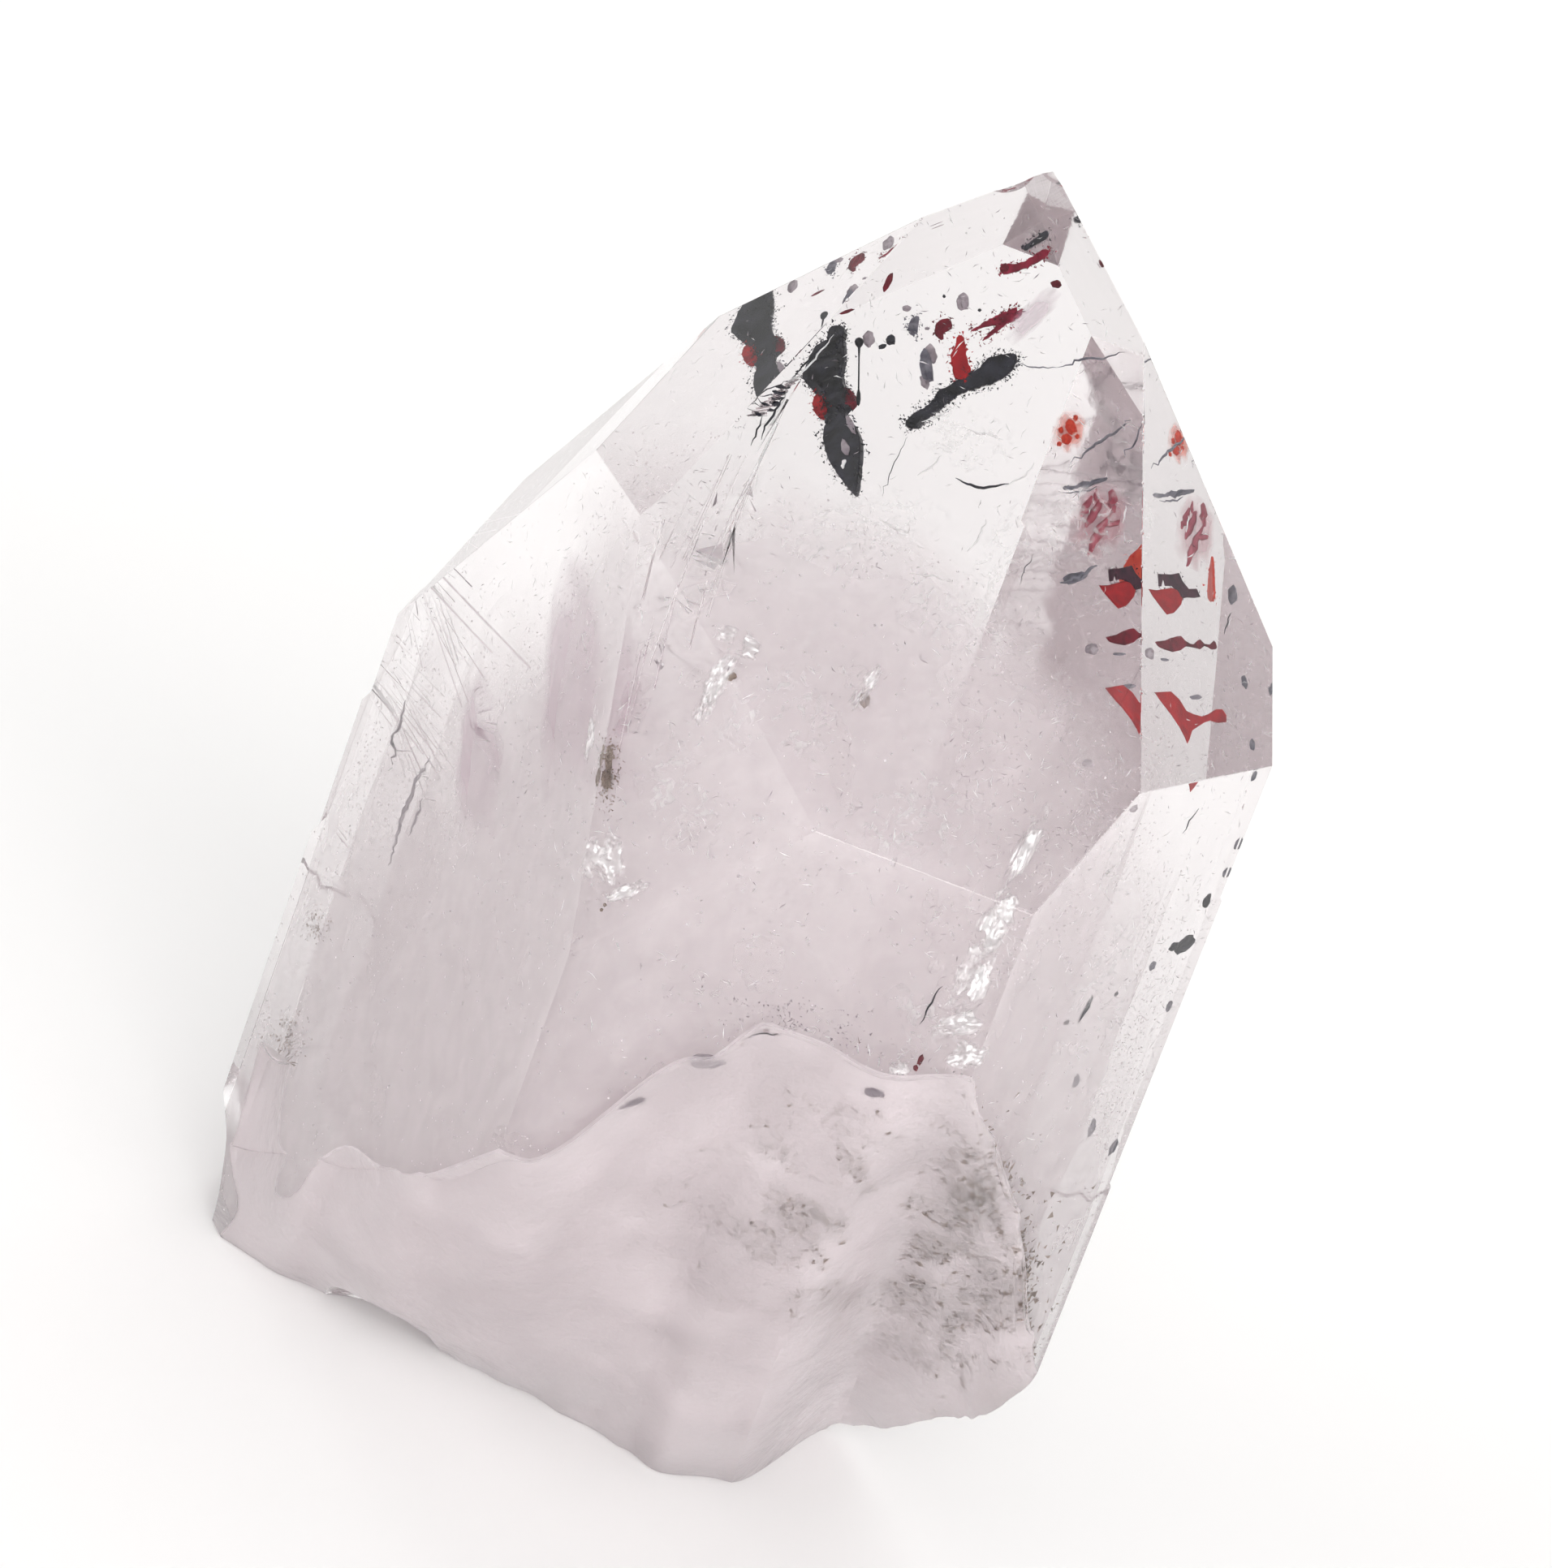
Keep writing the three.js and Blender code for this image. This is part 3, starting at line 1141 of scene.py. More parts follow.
    def _nibbles(self) -> list[bpy.types.Object]:
        """Tiny bites along the sharp edges of the tip.

        Returns:
            The small solids that bite.
        """
        pick = np.random.default_rng(7)
        habit = self.habit
        tip_edges = ((Side.FRONT, Side.RIGHT_FRONT, 24), (Side.RIGHT_FRONT, Side.RIGHT_BACK, 20),
                     (Side.FRONT, Side.LEFT_FRONT, 12))
        bites = []
        for one, other, count in tip_edges:
            a, b = habit.tip(one), habit.tip(other)
            line = a.normal.cross(b.normal).normalized()
            foot = meeting_point(a, b)
            spots = [foot + line * step for step in np.linspace(-40, 40, 801) * MM]
            room = habit.room(np.array([tuple(spot) for spot in spots]))
            held = [spot for spot, gap in zip(spots, room) if gap > -0.01 * MM]
            for k in pick.integers(0, len(held), count):
                size = float(pick.uniform(*self.nibble)) * MM
                out = (a.normal + b.normal).normalized() * size * 0.55
                bpy.ops.mesh.primitive_ico_sphere_add(subdivisions=2, radius=size, location=held[k] + out)
                bites.append(bpy.context.object)
                settle(bites[-1])
        return bites

    def _mark_frost(self, body: bpy.types.Object) -> None:
        """Writes how frosted each face is, by how it came about, and shades the grown ones flat.

        Args:
            body: The crystal.
        """
        share = {Surface.GROWN: 0.0, Surface.BROKEN: 1.0, Surface.CHIPPED: 0.35}
        take_up(body)
        bpy.ops.object.shade_smooth_by_angle(angle=self.crease)
        frost = body.data.attributes.new(self.finish.frost_attribute, "FLOAT", "FACE")
        for number, face in enumerate(body.data.polygons):
            surface = Surface(face.material_index)
            sawn = face.normal.z < -0.99 and face.center.z < 0.1 * MM
            etched = surface is Surface.GROWN and face.normal.y > 0.3
            frost.data[number].value = 1.0 if sawn else self.etching if etched else share[surface]
            face.use_smooth = surface is not Surface.GROWN

    def _lay_bloom(self, body: bpy.types.Object) -> None:
        """Lays the milky bloom close under the broken surface, as a piece of its own.

        Args:
            body: The crystal.
        """
        bloom = body.copy()
        bloom.data = body.data.copy()
        bloom.name = self.bloom.name
        bpy.context.scene.collection.objects.link(bloom)
        delete_faces(bloom, [face.material_index != Surface.BROKEN.value for face in bloom.data.polygons])
        with editing(bloom):
            bpy.ops.transform.shrink_fatten(value=-self.bloom_depth)
        share = bloom.data.attributes.new(self.bloom.share_attribute, "FLOAT", "POINT")
        for corner, milky in zip(bloom.data.vertices, share.data):
            patchy = noise.fractal(corner.co * self.bloom_pitch, 0.8, FINER, 5)
            milky.value = min(1.0, max(self.bloom_least, self.bloom_usual + self.bloom_patches * patchy))
        bloom.data.materials.clear()
        bloom.data.materials.append(self.bloom.material())
        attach(bloom, BODY)
        report(bloom)

    def build(self) -> bpy.types.Object:
        """Builds the whole crystal and gives it its finish.

        Returns:
            The crystal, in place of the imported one.
        """
        body = self.habit.solid("quartz_point")
        self._ease_edges(body)
        assign_surface(body, Surface.GROWN)
        self._cut_ledges(body)
        carve(body, Break(self.habit).taken_away())
        self._chip(body)
        self._scratch(body)
        self._mark_frost(body)
        self._lay_bloom(body)
        body.data.materials.clear()
        body.data.materials.append(self.finish.material())
        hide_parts(CAD_NODE)
        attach(body, BODY)
        return body


@dataclass(frozen=True)
class Lamp:
    """A large soft light far off: which way it lies, how wide it is and how much it adds."""

    way: tuple[float, float, float]
    half_width_deg: float
    glow: float


@dataclass(frozen=True)
class Studio:
    """A pale floor in an even white room with soft lights."""

    floor_radius: float = 1.6
    floor_gap: float = 0.06 * MM
    level_glow: float = 1.10
    high_glow: float = 0.50
    lamps: tuple[Lamp, ...] = (Lamp((0.35, -0.90, 0.25), 38, 4.0), Lamp((-0.80, -0.35, 0.45), 32, 0.9),
                               Lamp((0.0, 0.45, 0.90), 38, 0.62))

    def _world(self) -> None:
        """Sets a white surround, dimmer overhead, with soft bright patches for lights."""
        world = bpy.data.worlds.new("studio")
        board = NodeBoard(world)
        world.cycles.sampling_method = "NONE"
        way = board.add("ShaderNodeTexCoord").outputs["Generated"]
        height = board.add("ShaderNodeSeparateXYZ", {"Vector": way}).outputs["Z"]
        glow = board.span(height, 0.0, 0.9, self.level_glow, self.high_glow)
        for lamp in self.lamps:
            axis = Vector(lamp.way).normalized()
            near = board.add("ShaderNodeVectorMath", {0: way, 1: axis}, operation="DOT_PRODUCT")
            rim, core = (math.cos(math.radians(lamp.half_width_deg * share)) for share in (1.0, 0.55))
            patch = board.span(near.outputs["Value"], rim, core, 0.0, lamp.glow)
            glow = board.math("ADD", glow, patch, held=False)
        shell = board.add("ShaderNodeBackground", {"Color": (1.0, 0.995, 0.99, 1), "Strength": glow})
        out = board.add("ShaderNodeOutputWorld")
        board.tree.links.new(shell.outputs[0], out.inputs["Surface"])
        bpy.context.scene.world = world

    def build(self) -> None:
        """Lays the floor and sets the light."""
        bpy.ops.mesh.primitive_circle_add(vertices=96, radius=self.floor_radius, fill_type="NGON",
                                          location=(0, 0, -self.floor_gap))
        floor = bpy.context.object
        floor.name = "floor"
        with editing(floor):
            bpy.ops.mesh.inset(thickness=self.floor_radius * 0.5)
        floor.data.materials.append(FloorFinish().material())
        settle(floor)
        self._world()
        scene = bpy.context.scene
        scene.view_settings.view_transform = "Standard"
        scene.cycles.use_light_tree = False
        scene.cycles.max_bounces = 14
        scene.cycles.transmission_bounces = 14
        scene.cycles.glossy_bounces = 10
        scene.cycles.diffuse_bounces = 4
        scene.cycles.transparent_max_bounces = 64


# This finish is for real black hematite, and it also paints the shade of the steps along the front face's
# left edge.
BLACK = MineralFinish("black_hematite_and_painted_shade", (0.0015, 0.002, 0.005), (0.022, 0.022, 0.036), 0.32, sheen=0.25)
MAROON = MineralFinish("maroon_hematite", (0.075, 0.003, 0.010), (0.24, 0.010, 0.028), 0.40)
PLUM = MineralFinish("plum_hematite", (0.022, 0.006, 0.016), (0.085, 0.018, 0.038), 0.40)
RED = MineralFinish("red_hematite", (0.26, 0.004, 0.010), (0.46, 0.010, 0.014), 0.35)
ORANGE = MineralFinish("orange_hematite", (0.60, 0.030, 0.012), (0.74, 0.075, 0.030), 0.40)
SMOKE = MineralFinish("smoky_rim", (0.10, 0.10, 0.13), (0.30, 0.29, 0.33), 0.50)
ROSE = MineralFinish("rose_hematite", (0.30, 0.045, 0.075), (0.50, 0.15, 0.19), 0.55)
BROWN = MineralFinish("brown_fleck", (0.20, 0.14, 0.11), (0.42, 0.34, 0.29), 0.60)
CRIMSON = MineralFinish("crimson_hematite", (0.20, 0.006, 0.025), (0.42, 0.014, 0.055), 0.45)
ASH = MineralFinish("ash_wisp", (0.26, 0.22, 0.25), (0.48, 0.43, 0.46), 0.70)
# This finish is for real white wisps, and it also paints highlights: the glint on the dark blade and the
# pale lines along the steps by the front face's left edge.
WISP_AND_PAINTED_HIGHLIGHT = MineralFinish("bright_wisp", (0.95, 0.95, 0.95), (1.0, 1.0, 1.0), 0.30, sheen=0.8)
MILK = MineralFinish("milk_fleck", (0.90, 0.84, 0.87), (0.98, 0.95, 0.96), 0.80)


def grain_corners(place: Vector, reach: float, pick: np.random.Generator) -> list[Vector]:
    """The three corners of a tiny grain round a place."""
    return [place + Vector(pick.normal(size=3)).normalized() * reach for _ in range(3)]


def dressed(piece: bpy.types.Object, finish: MineralFinish) -> bpy.types.Object:
    """Gives a piece a mineral's material, made once for all the pieces that share it."""
    piece.data.materials.append(bpy.data.materials.get(finish.name) or finish.material())
    return piece


def softened(outline: Sequence[Pixel], step: float) -> list[Pixel]:
    """A closed outline drawn again as a smooth curve through the same points.

    Args:
        outline: The corner points in order.
        step: Greatest distance between the new points.

    Returns:
        The new points.
    """
    count = len(outline)
    curve = []
    for k in range(count):
        p0, p1, p2, p3 = (np.array(outline[(k + shift) % count]) for shift in (-1, 0, 1, 2))
        parts = max(1, round(float(np.linalg.norm(p2 - p1)) / step))
        for t in np.arange(parts) / parts:
            curve.append(tuple(0.5 * (2 * p1 + (p2 - p0) * t + (2 * p0 - 5 * p1 + 4 * p2 - p3) * t**2
                                      + (3 * p1 - p0 - 3 * p2 + p3) * t**3)))
    return curve


class Skin:
    """The finished crystal's surface, which tells how deep a point lies under it."""

    cover: float = 0.04 * MM

    def __init__(self, crystal: bpy.types.Object, habit: Habit) -> None:
        """Reads the crystal's faces.

        Args:
            crystal: The finished crystal.
            habit: Its form.
        """
        self.habit = habit
        self.tree = BVHTree.FromPolygons([corner.co for corner in crystal.data.vertices],
                                         [face.vertices for face in crystal.data.polygons])

    def depth(self, points: np.ndarray) -> np.ndarray:
        """How far each point lies under the surface.

        Args:
            points: Points, one row each.

        Returns:
            The depth of each point, negative outside.
        """
        nearest = [self.tree.find_nearest(Vector(point)) for point in points]
        under = [(at - Vector(point)).dot(normal) for (at, normal, *_), point in zip(nearest, points)]
        gaps = np.array([gap for *_, gap in nearest])
        held = np.array([self._holds(Vector(point)) for point in points], dtype=bool)
        return np.where(held, np.minimum(under, self.habit.room(points)), -gaps)

    def _holds(self, point: Vector) -> bool:
        """Whether the crystal holds a point, told by how it meets the skin straight behind it."""
        met, normal, *_ = self.tree.ray_cast(point, Vector((0.0, 1.0, 0.0)))
        return met is not None and normal.y > 0

    def tuck(self, piece: bpy.types.Object) -> None:
        """Moves the points of an inclusion that stand out of the crystal, or touch its skin, inside.

        Args:
            piece: The inclusion.
        """
        places = np.array([tuple(corner.co) for corner in piece.data.vertices])
        for number in np.flatnonzero(self.depth(places) < self.cover):
            at, normal, *_ = self.tree.find_nearest(Vector(places[number]))
            piece.data.vertices[number].co = at - normal * self.cover


@dataclass(frozen=True)
class Flake:
    """A thin plate of mineral on a plane that was once a face of the crystal."""

    name: str
    outline: tuple[Pixel, ...]
    window: Plane
    layer: Plane
    finish: MineralFinish
    thickness: float = 0.05 * MM
    wander: float = 0.7
    smooth: bool = True
    rim: float = 0.02 * MM
    swell: float = 0.02 * MM

    def build(self, view: Viewpoint) -> bpy.types.Object:
        """Builds the plate where the picture shows it.

        Args:
            view: Where it is looked at from.

        Returns:
            The plate.
        """
        drawn = softened(self.outline, OUTLINE_STEP) if self.smooth else list(self.outline)
        pick = np.random.default_rng(sum(map(ord, self.name)))
        worn = [(x + pick.uniform(-1, 1) * self.wander, y + pick.uniform(-1, 1) * self.wander)
                for x, y in drawn]
        bpy.ops.mesh.primitive_circle_add(vertices=len(worn), radius=MM, fill_type="NGON")
        plate = bpy.context.object
        plate.name = self.name
        for corner, pixel in zip(plate.data.vertices, worn):
            corner.co = view.inside(pixel, self.window, self.layer)
        with editing(plate):
            bpy.ops.mesh.extrude_region_move(
                TRANSFORM_OT_translate={"value": self.layer.normal * -self.thickness})
            face_outwards()
            bpy.ops.mesh.select_mode(type="FACE")
        caps = [face for face in plate.data.polygons if abs(face.normal.dot(self.layer.normal)) > 0.9]
        plate.data.polygons.foreach_set("select", [face in caps for face in plate.data.polygons])
        take_up(plate)
        bpy.ops.object.mode_set(mode="EDIT")
        bpy.ops.mesh.inset(thickness=self.rim, depth=self.swell)
        bpy.ops.object.mode_set(mode="OBJECT")
        return dressed(plate, self.finish)


@dataclass(frozen=True)
class Pin:
    """A straight needle with a round head and a small bulb near its point."""

    name: str
    head: Pixel
    foot: Pixel
    window: Plane
    layer: Plane
    finish: MineralFinish
    radii: tuple[tuple[float, float], ...] = (
        (0.0, 0.030), (0.02, 0.095), (0.06, 0.120), (0.11, 0.095), (0.15, 0.034), (0.30, 0.020),
        (0.76, 0.022), (0.82, 0.050), (0.90, 0.058), (0.97, 0.040), (1.0, 0.012))

    def build(self, view: Viewpoint) -> bpy.types.Object:
        """Extrudes the needle ring by ring from its head to its point.

        Args:
            view: Where it is looked at from.

        Returns:
            The needle.
        """
        top = view.inside(self.head, self.window, self.layer)
        end = view.inside(self.foot, self.window, self.layer)
        along = end - top
        bpy.ops.mesh.primitive_circle_add(vertices=12, radius=self.radii[0][1] * MM, fill_type="NGON",
                                          location=top, rotation=along.to_track_quat("Z", "Y").to_euler())
        pin = bpy.context.object
        pin.name = self.name
        settle(pin)
        with editing(pin):
            for (start, width), (stop, wider) in zip(self.radii, self.radii[1:]):
                bpy.ops.mesh.extrude_region_move(TRANSFORM_OT_translate={"value": along * (stop - start)})
                bpy.ops.transform.resize(value=(wider / width,) * 3, center_override=top + along * stop)
            face_outwards()
        take_up(pin)
        bpy.ops.object.shade_smooth_by_angle(angle=math.radians(50))
        return dressed(pin, self.finish)


@dataclass(frozen=True)
class Spot:
    """A small lump of mineral: where the picture shows it, its half width and height, and its depth."""

    at: Pixel
    wide: float
    high: float
    depth: float
    turn: float = 0.0


@dataclass(frozen=True)
class SpotGroup:
    """Small lumps of one mineral, as one piece."""

    name: str
    spots: tuple[Spot, ...]
    finish: MineralFinish
    swell: float = 0.35
    pitch: float = 1.6

    def build(self, view: Viewpoint, habit: Habit) -> bpy.types.Object:
        """Models one uneven lump at every spot.

        Args:
            view: Where the spots are looked at from.
            habit: The crystal's form.

        Returns:
            The piece that holds them all.
        """
        towards = view.axes()[2]
        lumps = []
        for number, spot in enumerate(self.spots):
            middle = view.under(spot.at, habit, spot.depth * MM)
            bpy.ops.mesh.primitive_ico_sphere_add(subdivisions=3, radius=1.0)
            lump = bpy.context.object
            wide, high = view.spread(spot.wide, spot.high, spot.turn)
            deep = towards * min(spot.wide, spot.high) / view.points_per_metre
            for corner in lump.data.vertices:
                lumpy = noise.noise(corner.co * self.pitch + Vector((number * 3.7, 0, 0)))
                swell = 1 + self.swell * lumpy
                place = corner.co * swell
                corner.co = middle + wide * place.x + high * place.y + deep * place.z
            lumps.append(lump)
        return dressed(joined(lumps, self.name), self.finish)


@dataclass(frozen=True)
class Thread:
    """A hair, crack or stroke that runs through points of the picture at one depth."""

    points: tuple[Pixel, ...]
    width: float
    depth: float


@dataclass(frozen=True)
class ThreadGroup:
    """Threads of one mineral, as one piece."""

    name: str
    threads: tuple[Thread, ...]
    finish: MineralFinish
    sides: int = 5
    step: float = 6.0
    wander: float = 1.0

    def build(self, view: Viewpoint, habit: Habit) -> bpy.types.Object:
        """Lays a thin tube along each thread, pinched to a point at both ends.

        Args:
            view: Where the threads are looked at from.
            habit: The crystal's form.

        Returns:
            The piece that holds them all.
        """
        points: list[Vector] = []
        faces: list[list[int]] = []
        for number, thread in enumerate(self.threads):
            pixels = self._walk(thread, np.random.default_rng(number))
            window = habit.window(view.eye(), view.way(pixels[0]))
            line = [view.inside(pixel, window, window.deeper(thread.depth * MM)) for pixel in pixels]
            first = len(points)
            for k, place in enumerate(line):
                along = (line[min(k + 1, len(line) - 1)] - line[max(k - 1, 0)]).normalized()
                across = along.cross(window.normal).normalized()
                girth = thread.width * MM / 2 * (0.15 + math.sin(math.pi * (k + 0.3) / (len(line) - 0.4)))
                for side in range(self.sides):
                    turn = 2 * math.pi * side / self.sides
                    out = across * math.cos(turn) + window.normal * math.sin(turn)
                    points.append(place + out * girth)
            for ring in range(first, first + (len(line) - 1) * self.sides, self.sides):
                for side in range(self.sides):
                    a, b = ring + side, ring + (side + 1) % self.sides
                    faces.append([a, b, b + self.sides, a + self.sides])
        return dressed(mesh_piece(self.name, np.array(points), np.array(faces)), self.finish)

    def _walk(self, thread: Thread, pick: np.random.Generator) -> list[Pixel]:
        """Steps along a thread's points with a little wandering.

        Args:
            thread: The thread.
            pick: Where the random numbers come from.

        Returns:
            The points of the picture that it passes.
        """
        steps = []
        for (x0, y0), (x1, y1) in zip(thread.points, thread.points[1:]):
            count = max(2, round(math.hypot(x1 - x0, y1 - y0) / self.step))
            for share in np.arange(count) / count:
                sway = pick.normal(scale=self.wander, size=2)
                steps.append((x0 + (x1 - x0) * share + sway[0], y0 + (y1 - y0) * share + sway[1]))
        return steps + [thread.points[-1]]


@dataclass(frozen=True)
class Fringe:
    """Loose grains along a plate's rim, which make it look furred."""

    plate: Flake
    count: int
    spread: float
    finish: MineralFinish
    size: tuple[float, float] = (0.02 * MM, 0.07 * MM)
    scatter: float = 0.06

    def build(self, view: Viewpoint) -> bpy.types.Object:
        """Strews small flat grains along the outline.

        Args:
            view: Where the plate is looked at from.

        Returns:
            The piece that holds all the grains.
        """
        rim = softened(self.plate.outline, OUTLINE_STEP)
        pick = np.random.default_rng(len(rim))
        points = []
        for k in pick.integers(0, len(rim), self.count):
            sway = pick.normal(scale=self.spread, size=2)
            pixel = (rim[k][0] + sway[0], rim[k][1] + sway[1])
            place = view.inside(pixel, self.plate.window, self.plate.layer)
            place = place + self.plate.layer.normal * float(pick.normal(scale=self.scatter)) * MM
            reach = float(pick.uniform(*self.size))
            points += grain_corners(place, reach, pick)
        faces = np.arange(len(points)).reshape(-1, 3)
        name = f"{self.plate.name}_fringe"
        return dressed(mesh_piece(name, np.array(points), faces), self.finish)


@dataclass(frozen=True)
class Cloud:
    """A patch of small grains just under the skin, round one point of the picture."""

    name: str
    at: Pixel
    wide: float
    high: float
    turn: float
    count: int
    finish: MineralFinish
    size: tuple[float, float] = (0.04 * MM, 0.16 * MM)
    depth: tuple[float, float] = (0.045 * MM, 0.5 * MM)
    thin: float = 0.05

    def build(self, view: Viewpoint, skin: Skin) -> bpy.types.Object:
        """Strews the grains in bunches under whatever surface is seen there.

        Args:
            view: Where the cloud is looked at from.
            skin: The crystal's surface.

        Returns:
            The piece that holds all the grains.
        """
        pick = np.random.default_rng(self.count)
        turn = math.radians(self.turn)
        points: list[Vector] = []
        while len(points) < self.count * 3:
            u, v = pick.normal(scale=0.5, size=2)
            if noise.fractal(Vector((u * 2.6, v * 2.6, self.turn)), 0.9, FINER, 4) < self.thin:
                continue
            pixel = (self.at[0] + u * self.wide * math.cos(turn) - v * self.high * math.sin(turn),
                     self.at[1] + u * self.wide * math.sin(turn) + v * self.high * math.cos(turn))
            met, normal, *_ = skin.tree.ray_cast(view.eye(), view.way(pixel))
            if met is None:
                continue
            place = met - normal * float(pick.uniform(*self.depth))
            reach = float(pick.uniform(*self.size))
            points += grain_corners(place, reach, pick)
        faces = np.arange(len(points)).reshape(-1, 3)
        return dressed(mesh_piece(self.name, np.array(points), faces), self.finish)


@dataclass(frozen=True)
class Feather:
    """A film in a healed crack: its half width and height, its depth, its turn and its backward tip."""

    at: Pixel
    wide: float
    high: float
    depth: float
    turn: float = 0.0
    tip: float = 0.0


@dataclass(frozen=True)
class FeatherGroup:
    """Films of one kind, as one piece."""

    name: str
    feathers: tuple[Feather, ...]
    finish: FeatherFilm
    wrinkle: float = 0.10 * MM
    cells: int = 26
    raggedness: float = 0.30
    rim_sharpness: float = 2.2

    def build(self, view: Viewpoint, habit: Habit) -> bpy.types.Object:
        """Lays one wrinkled sheet for each feather.

        Args:
            view: Where the feathers are looked at from.
            habit: The crystal's form.

        Returns:
            The piece that holds them all.
        """
        towards = view.axes()[2]
        sheets = []
        for number, feather in enumerate(self.feathers):
            middle = view.under(feather.at, habit, feather.depth * MM)
            tip = math.radians(feather.tip)
            wide, high = view.spread(feather.wide, feather.high, feather.turn)
            high = high * math.cos(tip) - towards * high.length * math.sin(tip)
            bpy.ops.mesh.primitive_grid_add(x_subdivisions=self.cells, y_subdivisions=self.cells, size=2.0)
            sheet = bpy.context.object
            fade = sheet.data.attributes.new("fade", "FLOAT", "POINT")
            for corner, rim in zip(sheet.data.vertices, fade.data):
                u, v = corner.co.x, corner.co.y
                sway = noise.fractal(Vector((u * 1.4, v * 1.4, number * 5.3)), 0.8, FINER, 4)
                ragged = noise.noise(Vector((u * 2.2, v * 2.2, number * 2.9)))
                left = 1.05 - math.hypot(u, v) - self.raggedness * ragged
                rim.value = min(1.0, max(0.0, left * self.rim_sharpness))
                corner.co = middle + wide * u + high * v + towards * sway * self.wrinkle * 2
            sheets.append(sheet)
        group = joined(sheets, self.name)
        take_up(group)
        bpy.ops.object.shade_smooth()
        group.data.materials.append(self.finish.material())
        return group


@dataclass(frozen=True)
class MilkShell:
    """A growth surface under all the faces that milk settled on."""

    habit: Habit
    film: MilkFilm
    inset: float
    grid: float = 0.45 * MM
    sway: float = 0.35 * MM
    sway_pitch: float = 260.0
    full_sway: float = 1.2 * MM
    behind: float = 0.35 * MM
    behind_share: float = 0.85
    above_share: float = 0.53
    patch_pitch: float = 420.0
    patches: float = 0.25
    usual: float = 0.88
    least: float = 0.35
    cover: float = 0.12 * MM
    clear_below: float = 0.02
    field: MilkField = MilkField()

    def build(self, skin: Skin) -> bpy.types.Object:
        """Builds the shell, which keeps only its milky part.

        Args:
            skin: The crystal's surface.

        Returns:
            The shell.
        """
        shell = self.habit.solid(self.film.name, self.inset)
        wall = Break(self.habit, rows=30, columns=40).taken_away()
        for corner in wall.data.vertices:
            corner.co.y += self.behind + self.behind_share * self.inset
            corner.co.z += self.above_share * self.inset
        carve(shell, wall)
        take_up(shell)
        even = shell.modifiers.new("even", "REMESH")
        even.mode = "VOXEL"
        even.voxel_size = self.grid
        bpy.ops.object.modifier_apply(modifier=even.name)
        for corner in shell.data.vertices:
            wave = noise.noise_vector(corner.co * self.sway_pitch + Vector((self.film.seed, 0, 0)))
            corner.co += wave * self.sway * min(1.0, self.inset / self.full_sway)
        self._keep_milky(shell, skin)
        shell.data.materials.clear()
        shell.data.materials.append(self.film.material())
        take_up(shell)
        bpy.ops.object.shade_smooth()
        return shell

    def _keep_milky(self, shell: bpy.types.Object, skin: Skin) -> None:
        """Writes how milky each point is, and deletes what is clear or too near the skin.

        Args:
            shell: The shell.
            skin: The crystal's surface.
        """
        places = np.array([tuple(corner.co) for corner in shell.data.vertices])
        shift = Vector((0, self.film.seed, 0))
        patchy = np.array([noise.fractal(Vector(place) * self.patch_pitch + shift, 0.9, FINER, 4)
                           for place in places])
        milky = self.field.at(places) * np.clip(self.usual + self.patches * patchy, self.least, 1.0)
        milky[skin.depth(places) < self.cover] = 0.0
        share = shell.data.attributes.new(self.film.share_attribute, "FLOAT", "POINT")
        share.data.foreach_set("value", milky.astype(np.float32))
        clear = milky <= self.clear_below
        faces = shell.data.polygons
        delete_faces(shell, [all(clear[number] for number in face.vertices) for face in faces])


@dataclass(frozen=True)
class Scatter:
    """Many tiny flecks all through the milky quartz, as one mesh."""

    name: str
    count: int
    length: tuple[float, float]
    slender: float
    finish: MineralFinish
    seed: int
    skin_depth: tuple[float, float] = (0.2 * MM, 20 * MM)
    field: MilkField = MilkField()
    least: float = 0.0
    above: float = 0.0
    bunch: float = 0.35
    bunch_pitch: float = 620.0
    bend: float = 0.3

    def _places(self, pick: np.random.Generator, skin: Skin) -> np.ndarray:
        """Where the flecks lie: inside the crystal, thicker where it is milky, in bunches.

        Args:
            pick: Where the random numbers come from.
            skin: The crystal's surface.

        Returns:
            The places, one row each.
        """
        low, high = (np.array(corner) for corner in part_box(CAD_NODE))
        kept: list[np.ndarray] = []
        while sum(map(len, kept)) < self.count:
            points = pick.uniform(low, high, (self.count, 3))
            points = points[points[:, 2] > self.above]
            share = np.maximum(self.field.at(points), self.least)
            bunches = np.array([noise.noise(Vector(point) * self.bunch_pitch) for point in points]) * 1.6
            share = share * np.clip(1 - self.bunch + self.bunch * (0.5 + bunches) * 1.6, 0.0, 1.0)
            points = points[pick.random(len(points)) < share]
            deep = skin.depth(points)
            kept.append(points[(deep > self.skin_depth[0]) & (deep < self.skin_depth[1])])
        return np.concatenate(kept)[:self.count]

    def build(self, skin: Skin) -> bpy.types.Object:
        """Builds each fleck as a bent sliver of two triangles.

        Args:
            skin: The crystal's surface.

        Returns:
            The piece that holds them all.
        """
        pick = np.random.default_rng(self.seed)
        places = self._places(pick, skin)
        along = pick.normal(size=(self.count, 3))
        along /= np.linalg.norm(along, axis=1)[:, None]
        across = np.cross(along, pick.normal(size=(self.count, 3)))
        across /= np.linalg.norm(across, axis=1)[:, None]
        half = pick.uniform(*self.length, self.count)[:, None] / 2
        width = half * self.slender
        bend = np.cross(along, across) * half * self.bend
        corners = np.stack([places - along * half, places + across * width + bend,
                            places + along * half, places - across * width + bend], axis=1)
        order = np.arange(self.count)[:, None] * 4
        faces = np.concatenate([order + [0, 1, 3], order + [1, 2, 3]])
        return dressed(mesh_piece(self.name, corners.reshape(-1, 3), faces), self.finish)


